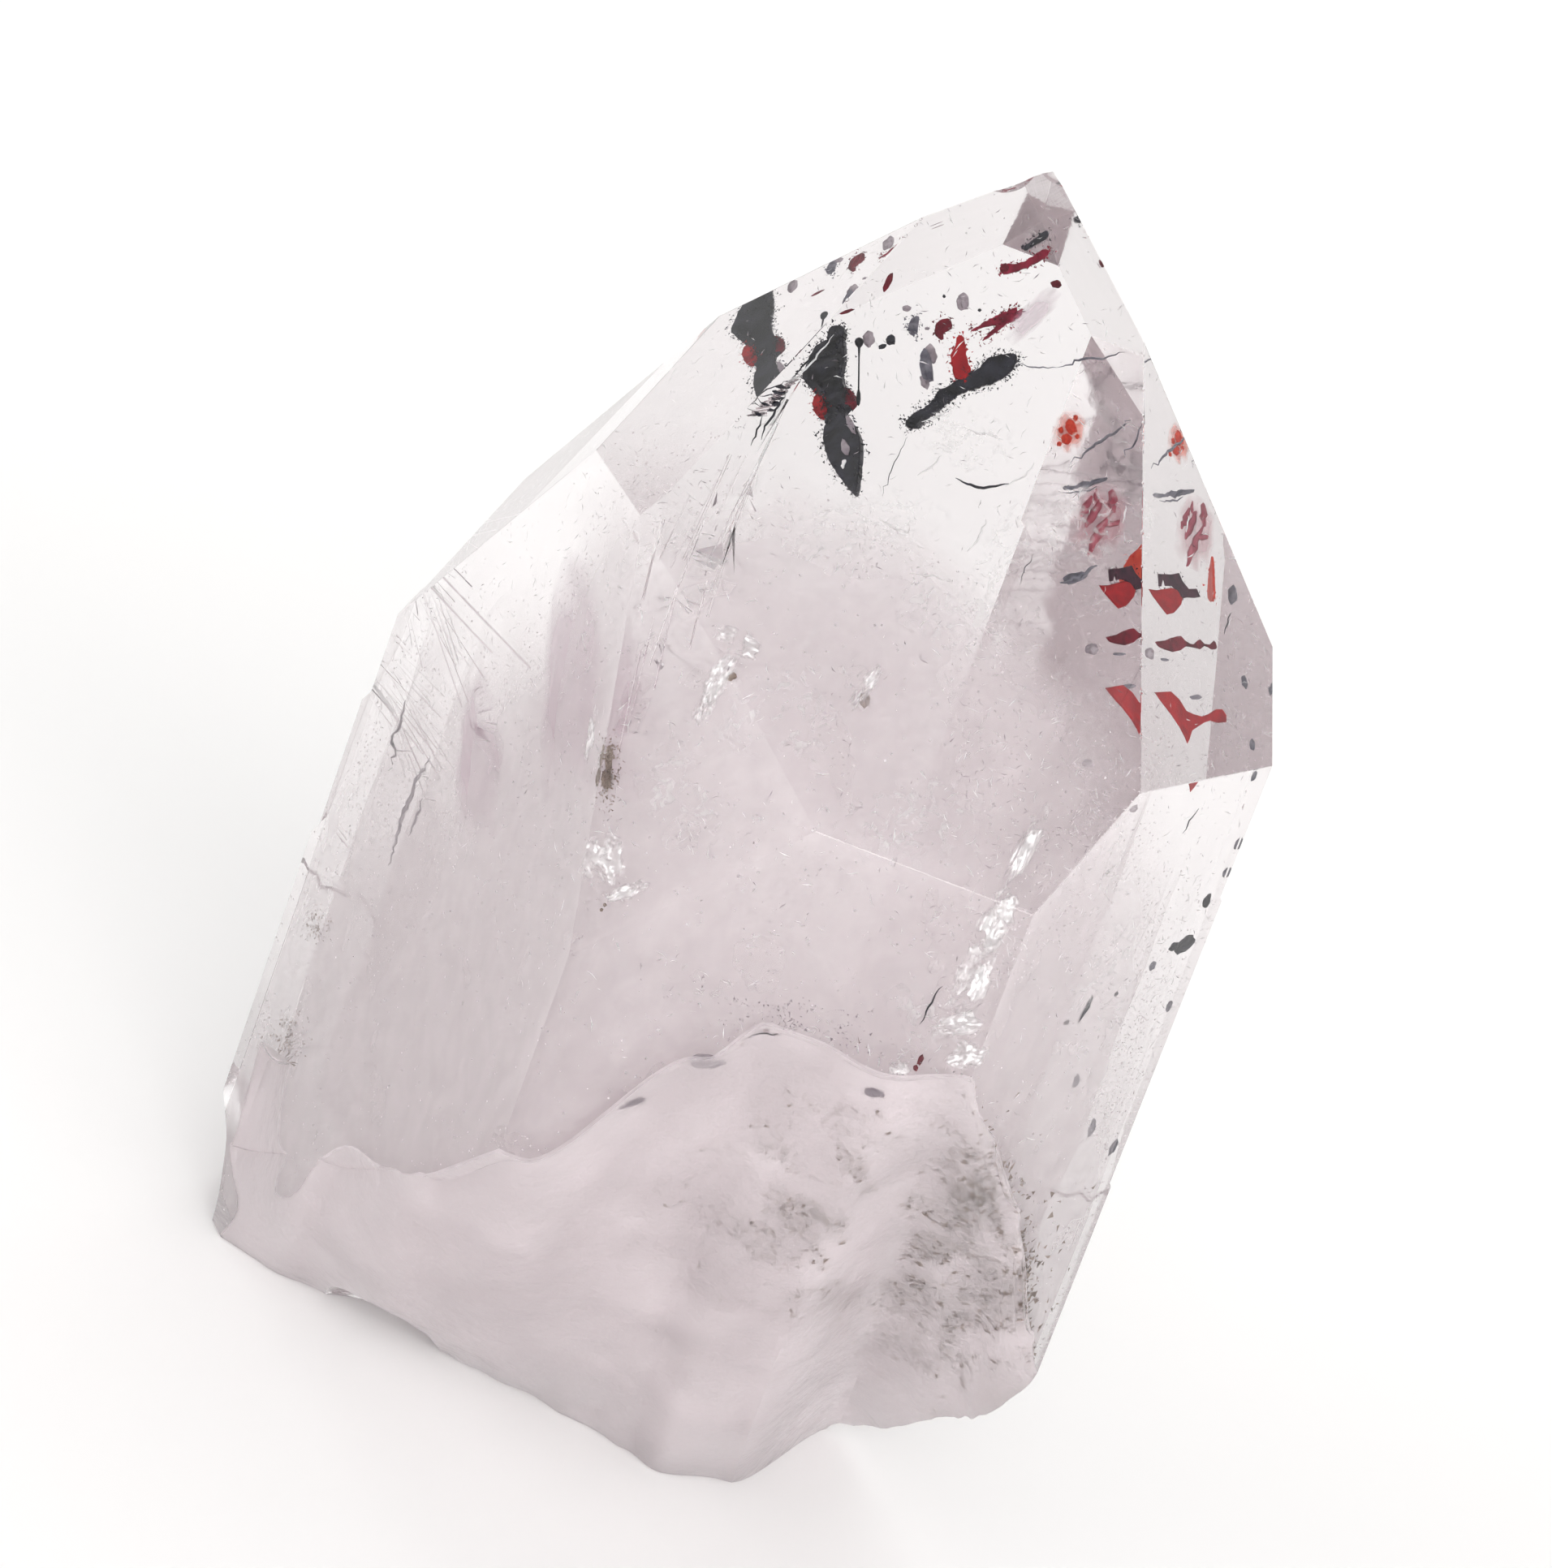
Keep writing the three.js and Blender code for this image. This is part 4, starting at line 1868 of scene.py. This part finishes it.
@dataclass
class Inclusions:
    """Everything that is sealed in the crystal, placed by what the picture shows through each face."""

    habit: Habit
    view: Viewpoint
    skin: Skin

    def __post_init__(self) -> None:
        """Names the faces that are looked through and the growth planes that hold the minerals."""
        self.front = self.habit.tip(Side.FRONT)
        self.right = self.habit.tip(Side.RIGHT_FRONT)
        self.left = self.habit.tip(Side.LEFT_FRONT)
        self.blade_plane = self.left.deeper(5.55 * MM)
        self.blade_front = self.left.deeper(5.50 * MM)
        self.pin_plane = self.front.deeper(3.35 * MM)
        self.flag_plane = self.right.deeper(3.15 * MM)
        self.deep_plane = self.front.deeper(6.2 * MM)
        self.streak_plane = self.front.deeper(8.4 * MM)

    def flakes(self) -> list[Flake]:
        """The dark blades and red plates of the tip, with a white flake that paints a highlight on the dark
        blade.

        Returns:
            The plates.
        """
        blade = (
            (1022, 404), (1040, 404), (1034, 430), (1036, 449), (1037, 464), (1040, 476), (1049, 483),
            (1050, 493), (1046, 501), (1041, 505), (1041, 514), (1044, 518), (1051, 522), (1058, 535),
            (1060, 552), (1059, 568), (1058, 583), (1056, 597), (1053, 608), (1046, 603), (1037, 591),
            (1028, 579), (1020, 564), (1015, 548), (1014, 531), (1018, 518), (1012, 511), (1012, 500),
            (1016, 483), (1011, 479), (1003, 472), (996, 468), (995, 460), (1003, 451), (1012, 437),
            (1018, 424))
        arm = (
            (1250, 436), (1253, 443), (1248, 455), (1238, 464), (1223, 472), (1210, 476), (1196, 480),
            (1183, 485), (1171, 493), (1162, 501), (1152, 510), (1143, 516), (1139, 522), (1133, 527),
            (1124, 527), (1117, 525), (1116, 520), (1122, 512), (1129, 507), (1141, 500), (1150, 491),
            (1156, 481), (1168, 476), (1176, 470), (1187, 464), (1194, 458), (1206, 453), (1213, 445),
            (1223, 439), (1235, 436))
        flag_low = (
            (1416, 726), (1425, 727), (1443, 724), (1452, 727), (1458, 735), (1455, 745), (1450, 751),
            (1446, 755), (1438, 757), (1430, 747), (1421, 735))
        flag_high = (
            (1427, 707), (1443, 708), (1453, 706), (1457, 716), (1465, 726), (1474, 725), (1479, 735),
            (1472, 737), (1464, 736), (1456, 738), (1450, 728), (1444, 722), (1436, 722), (1434, 712),
            (1431, 722), (1428, 722))
        bead = (
            (1424, 791), (1435, 789), (1443, 786), (1455, 784), (1460, 789), (1469, 794), (1474, 791),
            (1479, 788), (1484, 793), (1491, 794), (1496, 789), (1499, 798), (1494, 800), (1484, 796),
            (1479, 800), (1472, 798), (1460, 797), (1455, 801), (1445, 803), (1435, 800), (1426, 795))
        wedge = (
            (1423, 853), (1443, 852), (1453, 862), (1462, 876), (1470, 880), (1481, 883), (1489, 880),
            (1498, 874), (1506, 874), (1511, 881), (1511, 890), (1501, 891), (1491, 888), (1484, 890),
            (1476, 895), (1469, 900), (1466, 910), (1463, 916), (1460, 908), (1453, 895), (1443, 880),
            (1431, 864))
        orange = ((1380, 720), (1389, 689), (1399, 679), (1410, 672), (1412, 720))
        lobe = ((1009, 514), (1001, 501), (1003, 489), (1009, 485), (1017, 494), (1019, 510))
        lobe_right = ((1040, 478), (1049, 482), (1052, 492), (1046, 500), (1038, 497))
        gap_high = (
            (1042, 512), (1047, 515), (1052, 523), (1054, 534), (1050, 533), (1045, 526), (1042, 519))
        gap_low = ((1038, 541), (1043, 545), (1046, 553), (1044, 560), (1038, 557), (1036, 549))
        # A white flake in front of the blade: a painted highlight, the glint on the dark blade.
        glint = ((1036, 574), (1039, 566), (1042, 566), (1041, 572), (1038, 578))
        spur = (
            (1180, 414), (1188, 416), (1190, 434), (1194, 449), (1196, 460), (1187, 469), (1177, 465),
            (1173, 449), (1171, 437), (1177, 426))
        hook = (
            (1233, 327), (1240, 325), (1256, 324), (1270, 317), (1284, 308), (1293, 309), (1289, 316),
            (1274, 325), (1258, 332), (1245, 336), (1235, 336))
        dash = (
            (1262, 303), (1272, 296), (1283, 287), (1290, 284), (1292, 290), (1284, 297), (1272, 304),
            (1264, 308))
        streak = (
            (1210, 419), (1224, 404), (1234, 391), (1243, 382), (1252, 378), (1253, 386), (1244, 396),
            (1232, 405), (1217, 416))
        head = (
            (920, 370), (935, 362), (950, 359), (953, 380), (949, 400), (952, 411), (961, 420),
            (957, 431), (948, 441), (930, 446), (926, 434), (918, 424), (908, 415), (901, 407),
            (906, 392), (912, 380))
        left_streak = (
            (1142, 283), (1134, 288), (1122, 291), (1110, 298), (1098, 307), (1084, 319), (1096, 312),
            (1110, 306), (1124, 301), (1136, 293))
        left_fleck = (
            (1064, 312), (1056, 314), (1049, 321), (1046, 331), (1052, 335), (1057, 326), (1065, 321))
        left_smudge = ((1032, 318), (1024, 322), (1019, 333), (1024, 338), (1030, 329))
        bar = (
            (1313, 599), (1326, 598), (1334, 593), (1346, 594), (1354, 589), (1365, 588), (1364, 592),
            (1352, 596), (1344, 599), (1332, 600), (1324, 603), (1313, 604))
        return [
            Flake("lobed_blade", blade, self.front, self.blade_plane, BLACK, 0.16 * MM, 0.5),
            Flake("blade_gap_high", gap_high, self.front, self.blade_front, ASH, 0.02 * MM),
            Flake("blade_gap_low", gap_low, self.front, self.blade_front, ASH, 0.02 * MM),
            Flake("blade_glint", glint, self.front, self.blade_front, WISP_AND_PAINTED_HIGHLIGHT, 0.02 * MM),
            Flake("blade_red_lobe", lobe, self.front, self.blade_plane, RED, 0.10 * MM),
            Flake("blade_right_lobe", lobe_right, self.front, self.blade_plane, MAROON, 0.19 * MM),
            Flake("blade_arm", arm, self.front, self.deep_plane, BLACK, 0.16 * MM, 0.8),
            Flake("arm_red_spur", spur, self.front, self.deep_plane, RED, 0.10 * MM),
            Flake("blade_head", head, self.left, self.blade_plane, BLACK, 0.15 * MM),
            Flake("left_streak", left_streak, self.left, self.streak_plane, CRIMSON, 0.10 * MM),
            Flake("left_fleck", left_fleck, self.left, self.streak_plane, MAROON, 0.10 * MM),
            Flake("left_smudge", left_smudge, self.left, self.streak_plane, SMOKE, 0.10 * MM),
            Flake("red_hook", hook, self.front, self.deep_plane, CRIMSON, 0.12 * MM),
            Flake("dark_dash", dash, self.front, self.deep_plane, BLACK, 0.12 * MM),
            Flake("red_streak", streak, self.front, self.streak_plane, CRIMSON, 0.12 * MM),
            Flake("flag_lower", flag_low, self.right, self.flag_plane, RED, 0.05 * MM, 0.3, False),
            Flake("flag_upper", flag_high, self.right, self.flag_plane, PLUM, 0.06 * MM, 0.5, False),
            Flake("beaded_flake", bead, self.right, self.flag_plane, MAROON, 0.05 * MM, 0.4),
            Flake("wedge_flake", wedge, self.right, self.flag_plane, RED, 0.05 * MM, 0.3, False),
            Flake("orange_flake", orange, self.front, self._slanting((1400, 700), (1490, 705)), ORANGE,
                  0.05 * MM),
            Flake("dark_bar", bar, self.front, self.right.deeper(5.8 * MM), SMOKE, 0.05 * MM, 0.8),
        ]

    def _slanting(self, seen: Pixel, twin: Pixel, share: float = 0.3) -> Plane:
        """A plane that shows its face through the front and nearly its edge through the right.

        Args:
            seen: Where the front face shows it.
            twin: Where the right face shows it.
            share: How wide it looks through the right face, against the front.

        Returns:
            The plane.
        """
        ways = []
        for pixel, window in ((seen, self.front), (twin, self.right)):
            near = self.view.inside(pixel, window, window.deeper(0.1 * MM))
            ways.append((self.view.inside(pixel, window, window.deeper(4 * MM)) - near).normalized())
        closeness = ways[0].dot(ways[1])
        normal = (ways[0] - ways[1] * (closeness - share) / (1 - share * closeness)).normalized()
        if normal.dot(self.front.normal) < 0:
            normal.negate()
        place = self.view.inside(seen, self.front, self.right.deeper(5.04 * MM))
        return Plane(normal, normal.dot(place))

    def fringes(self) -> list[Fringe]:
        """The loose grains round the dark blades and the red plates.

        Returns:
            One fringe for each furred plate.
        """
        furred = {
            "lobed_blade": (900, 4.0, BLACK), "blade_arm": (900, 4.5, BLACK),
            "arm_red_spur": (160, 3.5, RED), "blade_red_lobe": (90, 2.5, RED),
            "red_hook": (160, 3.0, CRIMSON), "dark_dash": (90, 3.0, BLACK), "blade_head": (500, 4.0, BLACK),
            "left_streak": (140, 3.0, MAROON), "left_fleck": (90, 2.5, MAROON),
            "left_smudge": (90, 3.0, SMOKE), "red_streak": (160, 3.5, CRIMSON),
            "flag_upper": (90, 2.0, PLUM), "orange_flake": (40, 2.0, ORANGE)}
        return [Fringe(plate, *furred[plate.name]) for plate in self.flakes() if plate.name in furred]

    def threads(self) -> list[ThreadGroup]:
        """The hairs, the cracks, the strokes of the comb-like patch, and the painted shade and painted
        highlights of the steps by the front face's left edge.

        Returns:
            The groups of threads.
        """
        dark = (
            Thread(((1177, 589), (1196, 598), (1213, 602), (1233, 596), (1243, 596)), 0.07, 0.5),
            Thread(((1118, 537), (1100, 575), (1087, 612)), 0.022, 0.4),
            Thread(((1275, 682), (1262, 700), (1256, 722)), 0.022, 0.5),
            # These four threads and the rungs below lie just under the skin along the stepped edge. They
            # are painted shade of the steps, not hairs.
            Thread(((1017, 423), (1005, 436), (993, 448), (985, 456), (975, 466)), 0.05, 0.05),
            Thread(((968, 483), (961, 499), (953, 510), (944, 524), (938, 542)), 0.06, 0.05),
            Thread(((940, 512), (933, 530), (925, 549)), 0.045, 0.05),
            Thread(((974, 468), (956, 474), (934, 487), (921, 501)), 0.03, 0.05),
            *(Thread(((x, y), (x + long / 2, y + 1), (x + long, y)), width, 0.05) for x, y, long, width in (
                (955, 476, 18, 0.085), (953, 483, 17, 0.085), (951, 490, 15, 0.08), (949, 497, 12, 0.075),
                (945, 505, 9, 0.07), (936, 487, 18, 0.03), (931, 493, 20, 0.03), (926, 499, 22, 0.035),
                (922, 504, 24, 0.035), (921, 510, 21, 0.03))),
            Thread(((1160, 1215), (1146, 1240), (1133, 1262)), 0.05, 0.3),
            Thread(((911, 1283), (930, 1272), (950, 1276), (966, 1274)), 0.04, 0.3),
            Thread(((1329, 1259), (1337, 1245), (1347, 1226)), 0.20, 0.5),
            Thread(((1457, 1026), (1466, 1012), (1477, 996)), 0.06, 0.6),
            Thread(((1516, 754), (1513, 768), (1508, 782)), 0.05, 2.0))
        grey = (
            Thread(((1303, 453), (1330, 444), (1360, 440), (1386, 434)), 0.06, 3.0),
            Thread(((1252, 449), (1275, 452), (1303, 453)), 0.035, 3.0),
            Thread(((1319, 571), (1345, 551), (1370, 535), (1393, 518)), 0.075, 6.0),
            Thread(((1312, 602), (1326, 600), (1340, 595), (1362, 591)), 0.10, 7.4),
            Thread(((1310, 607), (1330, 606), (1352, 599)), 0.05, 7.5),
            Thread(((1307, 720), (1322, 712), (1338, 706), (1352, 697)), 0.12, 2.2),
            Thread(((1385, 560), (1400, 540), (1408, 520)), 0.05, 6.5))
        ash = (
            Thread(((530, 932), (514, 962), (498, 1000), (478, 1066)), 0.20, 0.5),
            Thread(((499, 862), (491, 900), (484, 942)), 0.16, 0.5),
            Thread(((520, 985), (504, 1030)), 0.12, 0.4))
        rose = (
            Thread(((1345, 611), (1338, 624), (1331, 638)), 0.20, 8.6),
            Thread(((1358, 613), (1349, 630), (1338, 650)), 0.22, 8.6),
            Thread(((1371, 604), (1369, 620), (1373, 632)), 0.24, 8.6),
            Thread(((1368, 634), (1356, 655), (1345, 673), (1340, 685)), 0.24, 8.6),
            Thread(((1380, 641), (1369, 646), (1358, 645)), 0.16, 8.6),
            Thread(((1352, 604), (1348, 612), (1354, 620)), 0.12, 8.6))
        bows = ((1135, 520, 42, -18, 1.2), (1160, 560, -30, 26, 1.4), (1190, 530, 46, 12, 1.6),
                (1080, 640, 40, 18, 0.8), (1215, 640, -24, 40, 1.0), (975, 700, 40, -26, 0.7),
                (1120, 705, 52, 10, 0.6), (1010, 760, -26, 44, 0.6), (1240, 600, 34, -30, 1.5))
        pale = (
            *(Thread(((x, y), (x + dx * 0.5 + 5, y + dy * 0.5), (x + dx, y + dy)), 0.05, depth)
              for x, y, dx, dy, depth in bows),
            # These two threads lie just under the skin along the stepped edge. They are painted highlights
            # of the steps, not wisps.
            Thread(((1028, 412), (1012, 432), (998, 448), (984, 463), (966, 474)), 0.05, 0.045),
            Thread(((973, 474), (966, 492), (957, 511), (946, 530)), 0.04, 0.045),
            Thread(((1387, 622), (1386, 632), (1383, 644)), 0.05, 6.0))
        return [ThreadGroup("dark_hairs_and_painted_step_shade", dark, BLACK), ThreadGroup("grey_cracks", grey, SMOKE, wander=1.6),
                ThreadGroup("rose_comb", rose, ROSE, wander=1.4),
                ThreadGroup("ash_streaks", ash, ASH, wander=1.2), ThreadGroup("pale_wisps_and_painted_step_highlights", pale, WISP_AND_PAINTED_HIGHLIGHT)]

    def clouds(self) -> list[Cloud]:
        """The brown mottling under the break, the brown flecks and the grey dust.

        Returns:
            The clouds.
        """
        fine = (0.02 * MM, 0.07 * MM)
        return [Cloud("brown_cloud", (1110, 1540), 210, 120, 25, 5200, BROWN),
                Cloud("brown_cloud_low", (1190, 1640), 90, 80, 10, 1500, BROWN),
                Cloud("brown_rim", (1215, 1500), 46, 120, -25, 1500, BROWN),
                Cloud("brown_fleck_high", (386, 1139), 16, 16, 0, 260, BROWN, fine),
                Cloud("brown_fleck_low", (349, 1275), 24, 28, 0, 460, BROWN, fine),
                Cloud("grey_dust", (990, 1262), 110, 34, 12, 260, ASH, (0.02 * MM, 0.06 * MM)),
                Cloud("brown_patch", (745, 950), 14, 42, 0, 500, BROWN, fine)]

    def pins(self) -> list[Pin]:
        """The one headed needle."""
        return [Pin("headed_needle", (1058.5, 416), (1057.5, 500), self.front, self.pin_plane, BLACK)]

    def spot_groups(self) -> list[SpotGroup]:
        """The loose specks.

        Returns:
            The groups of specks, one for each mineral.
        """
        black = (
            Spot((1098, 419), 6, 6, 3.4), Spot((1087, 427), 5, 3, 3.4, 20),
            Spot((1459, 1164), 17, 11, 1.6, 15),
            Spot((1446, 1166), 8, 6, 1.5), Spot((1375, 1225), 3.5, 3.5, 0.6),
            Spot((1338, 1243), 3, 14, 0.8, -35), Spot((1314, 1260), 5, 4, 0.8),
            Spot((1487, 1110), 7, 10, 2.4), Spot((1163, 365), 2, 2, 2.0),
            Spot((1207, 382), 2.2, 2.2, 2.0), Spot((1019, 519), 3, 4, 5.0))
        smoke = (
            Spot((1142, 452), 8, 20, 7.0, 8),
            Spot((1379, 806), 7, 2, 4.0), Spot((1473, 859), 10, 3, 4.6, 8),
            Spot((1533, 840), 5, 8, 4.0, 20), Spot((1518, 733), 8, 12, 6.0, -15),
            Spot((1545, 956), 5, 7, 2.0), Spot((1525, 1040), 6, 9, 2.0),
            Spot((1510, 1075), 5, 7, 2.2), Spot((1345, 1390), 7, 12, 1.4),
            Spot((1372, 1413), 6, 12, 1.8, -20), Spot((1326, 1332), 6, 9, 1.2),
            Spot((1420, 1190), 6, 6, 1.5), Spot((1440, 1240), 5, 8, 2.0),
            Spot((1324, 712), 15, 6, 2.5, 15))
        orange = (
            Spot((1320, 526), 7, 9, 9.0, 20), Spot((1314, 541), 6, 7, 9.0), Spot((1307, 530), 3, 4, 9.1),
            Spot((1325, 515), 3, 4, 9.0), Spot((1327, 538), 3, 3, 8.9), Spot((1305, 547), 3, 3, 8.9))
        ash = (
            Spot((1187, 372), 8, 10, 7.0), Spot((1117, 380), 5, 4, 7.1), Spot((1146, 436), 7, 12, 7.1, 8),
            Spot((1139, 470), 5, 9, 7.1, 20), Spot((976, 353), 7, 10, 6.0), Spot((1065, 343), 3, 2, 5.0),
            Spot((1345, 800), 8, 7, 4.4), Spot((1340, 941), 7, 5, 3.0), Spot((868, 1308), 22, 8, 0.5),
            Spot((778, 1362), 16, 8, 0.5, 8), Spot((1075, 1350), 12, 7, 0.4))
        red = (
            Spot((1238, 331), 6, 5, 6.2), Spot((1094, 348), 3.5, 13, 3.4, -24),
            Spot((1301, 350), 6, 5, 8.0), Spot((1149, 264), 8, 3, 3.0, 15),
            Spot((1043, 384), 9, 2, 3.4, 20), Spot((1134, 1306), 3, 7, 0.5, -20),
            Spot((1128, 1316), 3, 4, 0.5), Spot((944, 1269), 4, 3, 0.4), Spot((912, 1286), 3, 2, 0.4),
            Spot((956, 1274), 3, 2, 0.4))
        brown = (
            Spot((742, 934), 5, 14, 0.4), Spot((738, 958), 7, 12, 0.5),
            Spot((899, 835), 4, 4, 0.5), Spot((1065, 862), 6, 9, 0.8),
            Spot((745, 1115), 2.2, 2.2, 0.4), Spot((741, 1121), 2, 2, 0.4))
        return [SpotGroup("black_specks", black, BLACK), SpotGroup("smoky_specks", smoke, SMOKE),
                SpotGroup("ash_specks", ash, ASH), SpotGroup("red_specks", red, MAROON),
                SpotGroup("brown_specks", brown, BROWN), SpotGroup("orange_specks", orange, ORANGE)]

    def feathers(self) -> list[FeatherGroup]:
        """The bright healed cracks, and the faint and coloured veils.

        Returns:
            The groups of films.
        """
        bright = (
            Feather((745, 1058), 30, 32, 0.35), Feather((774, 1098), 30, 10, 0.3, 20),
            Feather((905, 792), 34, 18, 0.35, -20), Feather((885, 835), 14, 36, 0.3, -30),
            Feather((868, 872), 12, 24, 0.3, -25), Feather((1218, 1150), 20, 42, 0.35, -24),
            Feather((1198, 1208), 22, 46, 0.45, -24), Feather((1182, 1262), 34, 15, 0.3, 10),
            Feather((1108, 1318), 14, 12, 0.3), Feather((1266, 1040), 12, 58, 0.35, -26),
            Feather((1238, 1120), 15, 22, 0.35), Feather((1188, 1300), 24, 18, 0.4, 20),
            Feather((1368, 1072), 9, 5, 0.35, 30),
            Feather((1065, 848), 9, 34, 0.35, -35), Feather((728, 905), 12, 36, 0.35, -8))
        faint = (
            Feather((1190, 540), 60, 44, 1.6, -20, 25), Feather((1330, 650), 50, 80, 3.0, -20, 30),
            Feather((1235, 690), 30, 80, 0.5, -22, 20), Feather((960, 880), 80, 60, 0.4, 15, 10),
            Feather((1130, 1010), 100, 60, 0.4, 5, 10), Feather((1150, 1240), 60, 70, 0.4, 10, 10),
            Feather((840, 980), 60, 70, 0.4, 40, 10), Feather((1370, 1180), 50, 90, 0.4, -20, 10),
            Feather((1060, 650), 110, 40, 0.45, 12, 8), Feather((1180, 760), 80, 50, 0.4, -30, 8))
        mauve = (Feather((702, 835), 100, 165, 0.9, 22, 5), Feather((590, 935), 75, 120, 0.9, 30, 5),
                 Feather((1272, 388), 15, 44, 1.0, -45, 5))
        rose = (Feather((1354, 640), 34, 48, 8.7, -15),)
        haze = (Feather((1317, 531), 20, 27, 9.1, -15),)
        dull = FeatherFilm("faint_feather", open_share=0.48, strength=0.34, grain=3000.0, metallic=0.0,
                           roughness=0.7)
        tint = FeatherFilm("mauve_veil", (0.60, 0.40, 0.50), 0.05, 0.42, 500.0, 0.0, 0.8)
        pink = FeatherFilm("rose_veil", (0.60, 0.22, 0.27), 0.10, 0.50, 900.0, 0.0, 0.8)
        glow = FeatherFilm("orange_haze", (0.90, 0.22, 0.13), 0.02, 0.72, 900.0, 0.0, 0.8)
        return [FeatherGroup("bright_feathers", bright, FeatherFilm("bright_feather")),
                FeatherGroup("faint_feathers", faint, dull, 0.12 * MM),
                FeatherGroup("mauve_veils", mauve, tint), FeatherGroup("rose_veils", rose, pink),
                FeatherGroup("orange_hazes", haze, glow)]

    def scatters(self) -> list[Scatter]:
        """The fine flecks and wisps all through the milky part.

        Returns:
            The scatters.
        """
        return [
            Scatter("milk_flecks", 45000, (0.03 * MM, 0.10 * MM), 0.9, MILK, 11),
            Scatter("bright_wisps", 6500, (0.10 * MM, 0.42 * MM), 0.10, WISP_AND_PAINTED_HIGHLIGHT, 12,
                    skin_depth=(0.2 * MM, 3.2 * MM), above=15 * MM, least=0.05, bunch=0.8),
            Scatter("ash_wisps", 3000, (0.06 * MM, 0.26 * MM), 0.12, ASH, 13,
                    skin_depth=(0.2 * MM, 2.6 * MM), above=17 * MM, least=0.07, bunch=0.9),
        ]

    def shells(self) -> list[MilkShell]:
        """The nested milky growth planes, thin ones outside and thicker ones within.

        Returns:
            The shells.
        """
        plan, seed = ((0.5, 0.38), (2.2, 0.55), (4.6, 0.70)), 1.7
        return [MilkShell(self.habit, MilkFilm(f"milk_shell_{number}", strength, seed * number), inset * MM)
                for number, (inset, strength) in enumerate(plan, 1)]

    def build(self) -> list[bpy.types.Object]:
        """Builds everything inside the crystal.

        Returns:
            The pieces.
        """
        made = [part.build(self.view) for part in (*self.flakes(), *self.pins(), *self.fringes())]
        made += [part.build(self.view, self.habit)
                 for part in (*self.spot_groups(), *self.threads(), *self.feathers())]
        made += [part.build(self.view, self.skin) for part in self.clouds()]
        made += [part.build(self.skin) for part in self.scatters()]
        for piece in made:
            self.skin.tuck(piece)
        made += [part.build(self.skin) for part in self.shells()]
        for piece in made:
            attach(piece, BODY)
            report(piece)
        return made


def main() -> None:
    """Builds the crystal, what it holds and the studio, and reports each piece."""
    logging.basicConfig(level=logging.INFO, format="%(name)s: %(message)s")
    habit = Habit()
    view = Viewpoint(habit.centre)
    view.camera()
    Studio().build()
    crystal = QuartzPoint(habit, view).build()
    report(crystal)
    Inclusions(habit, view, Skin(crystal, habit)).build()


if __name__ == "__main__":
    main()
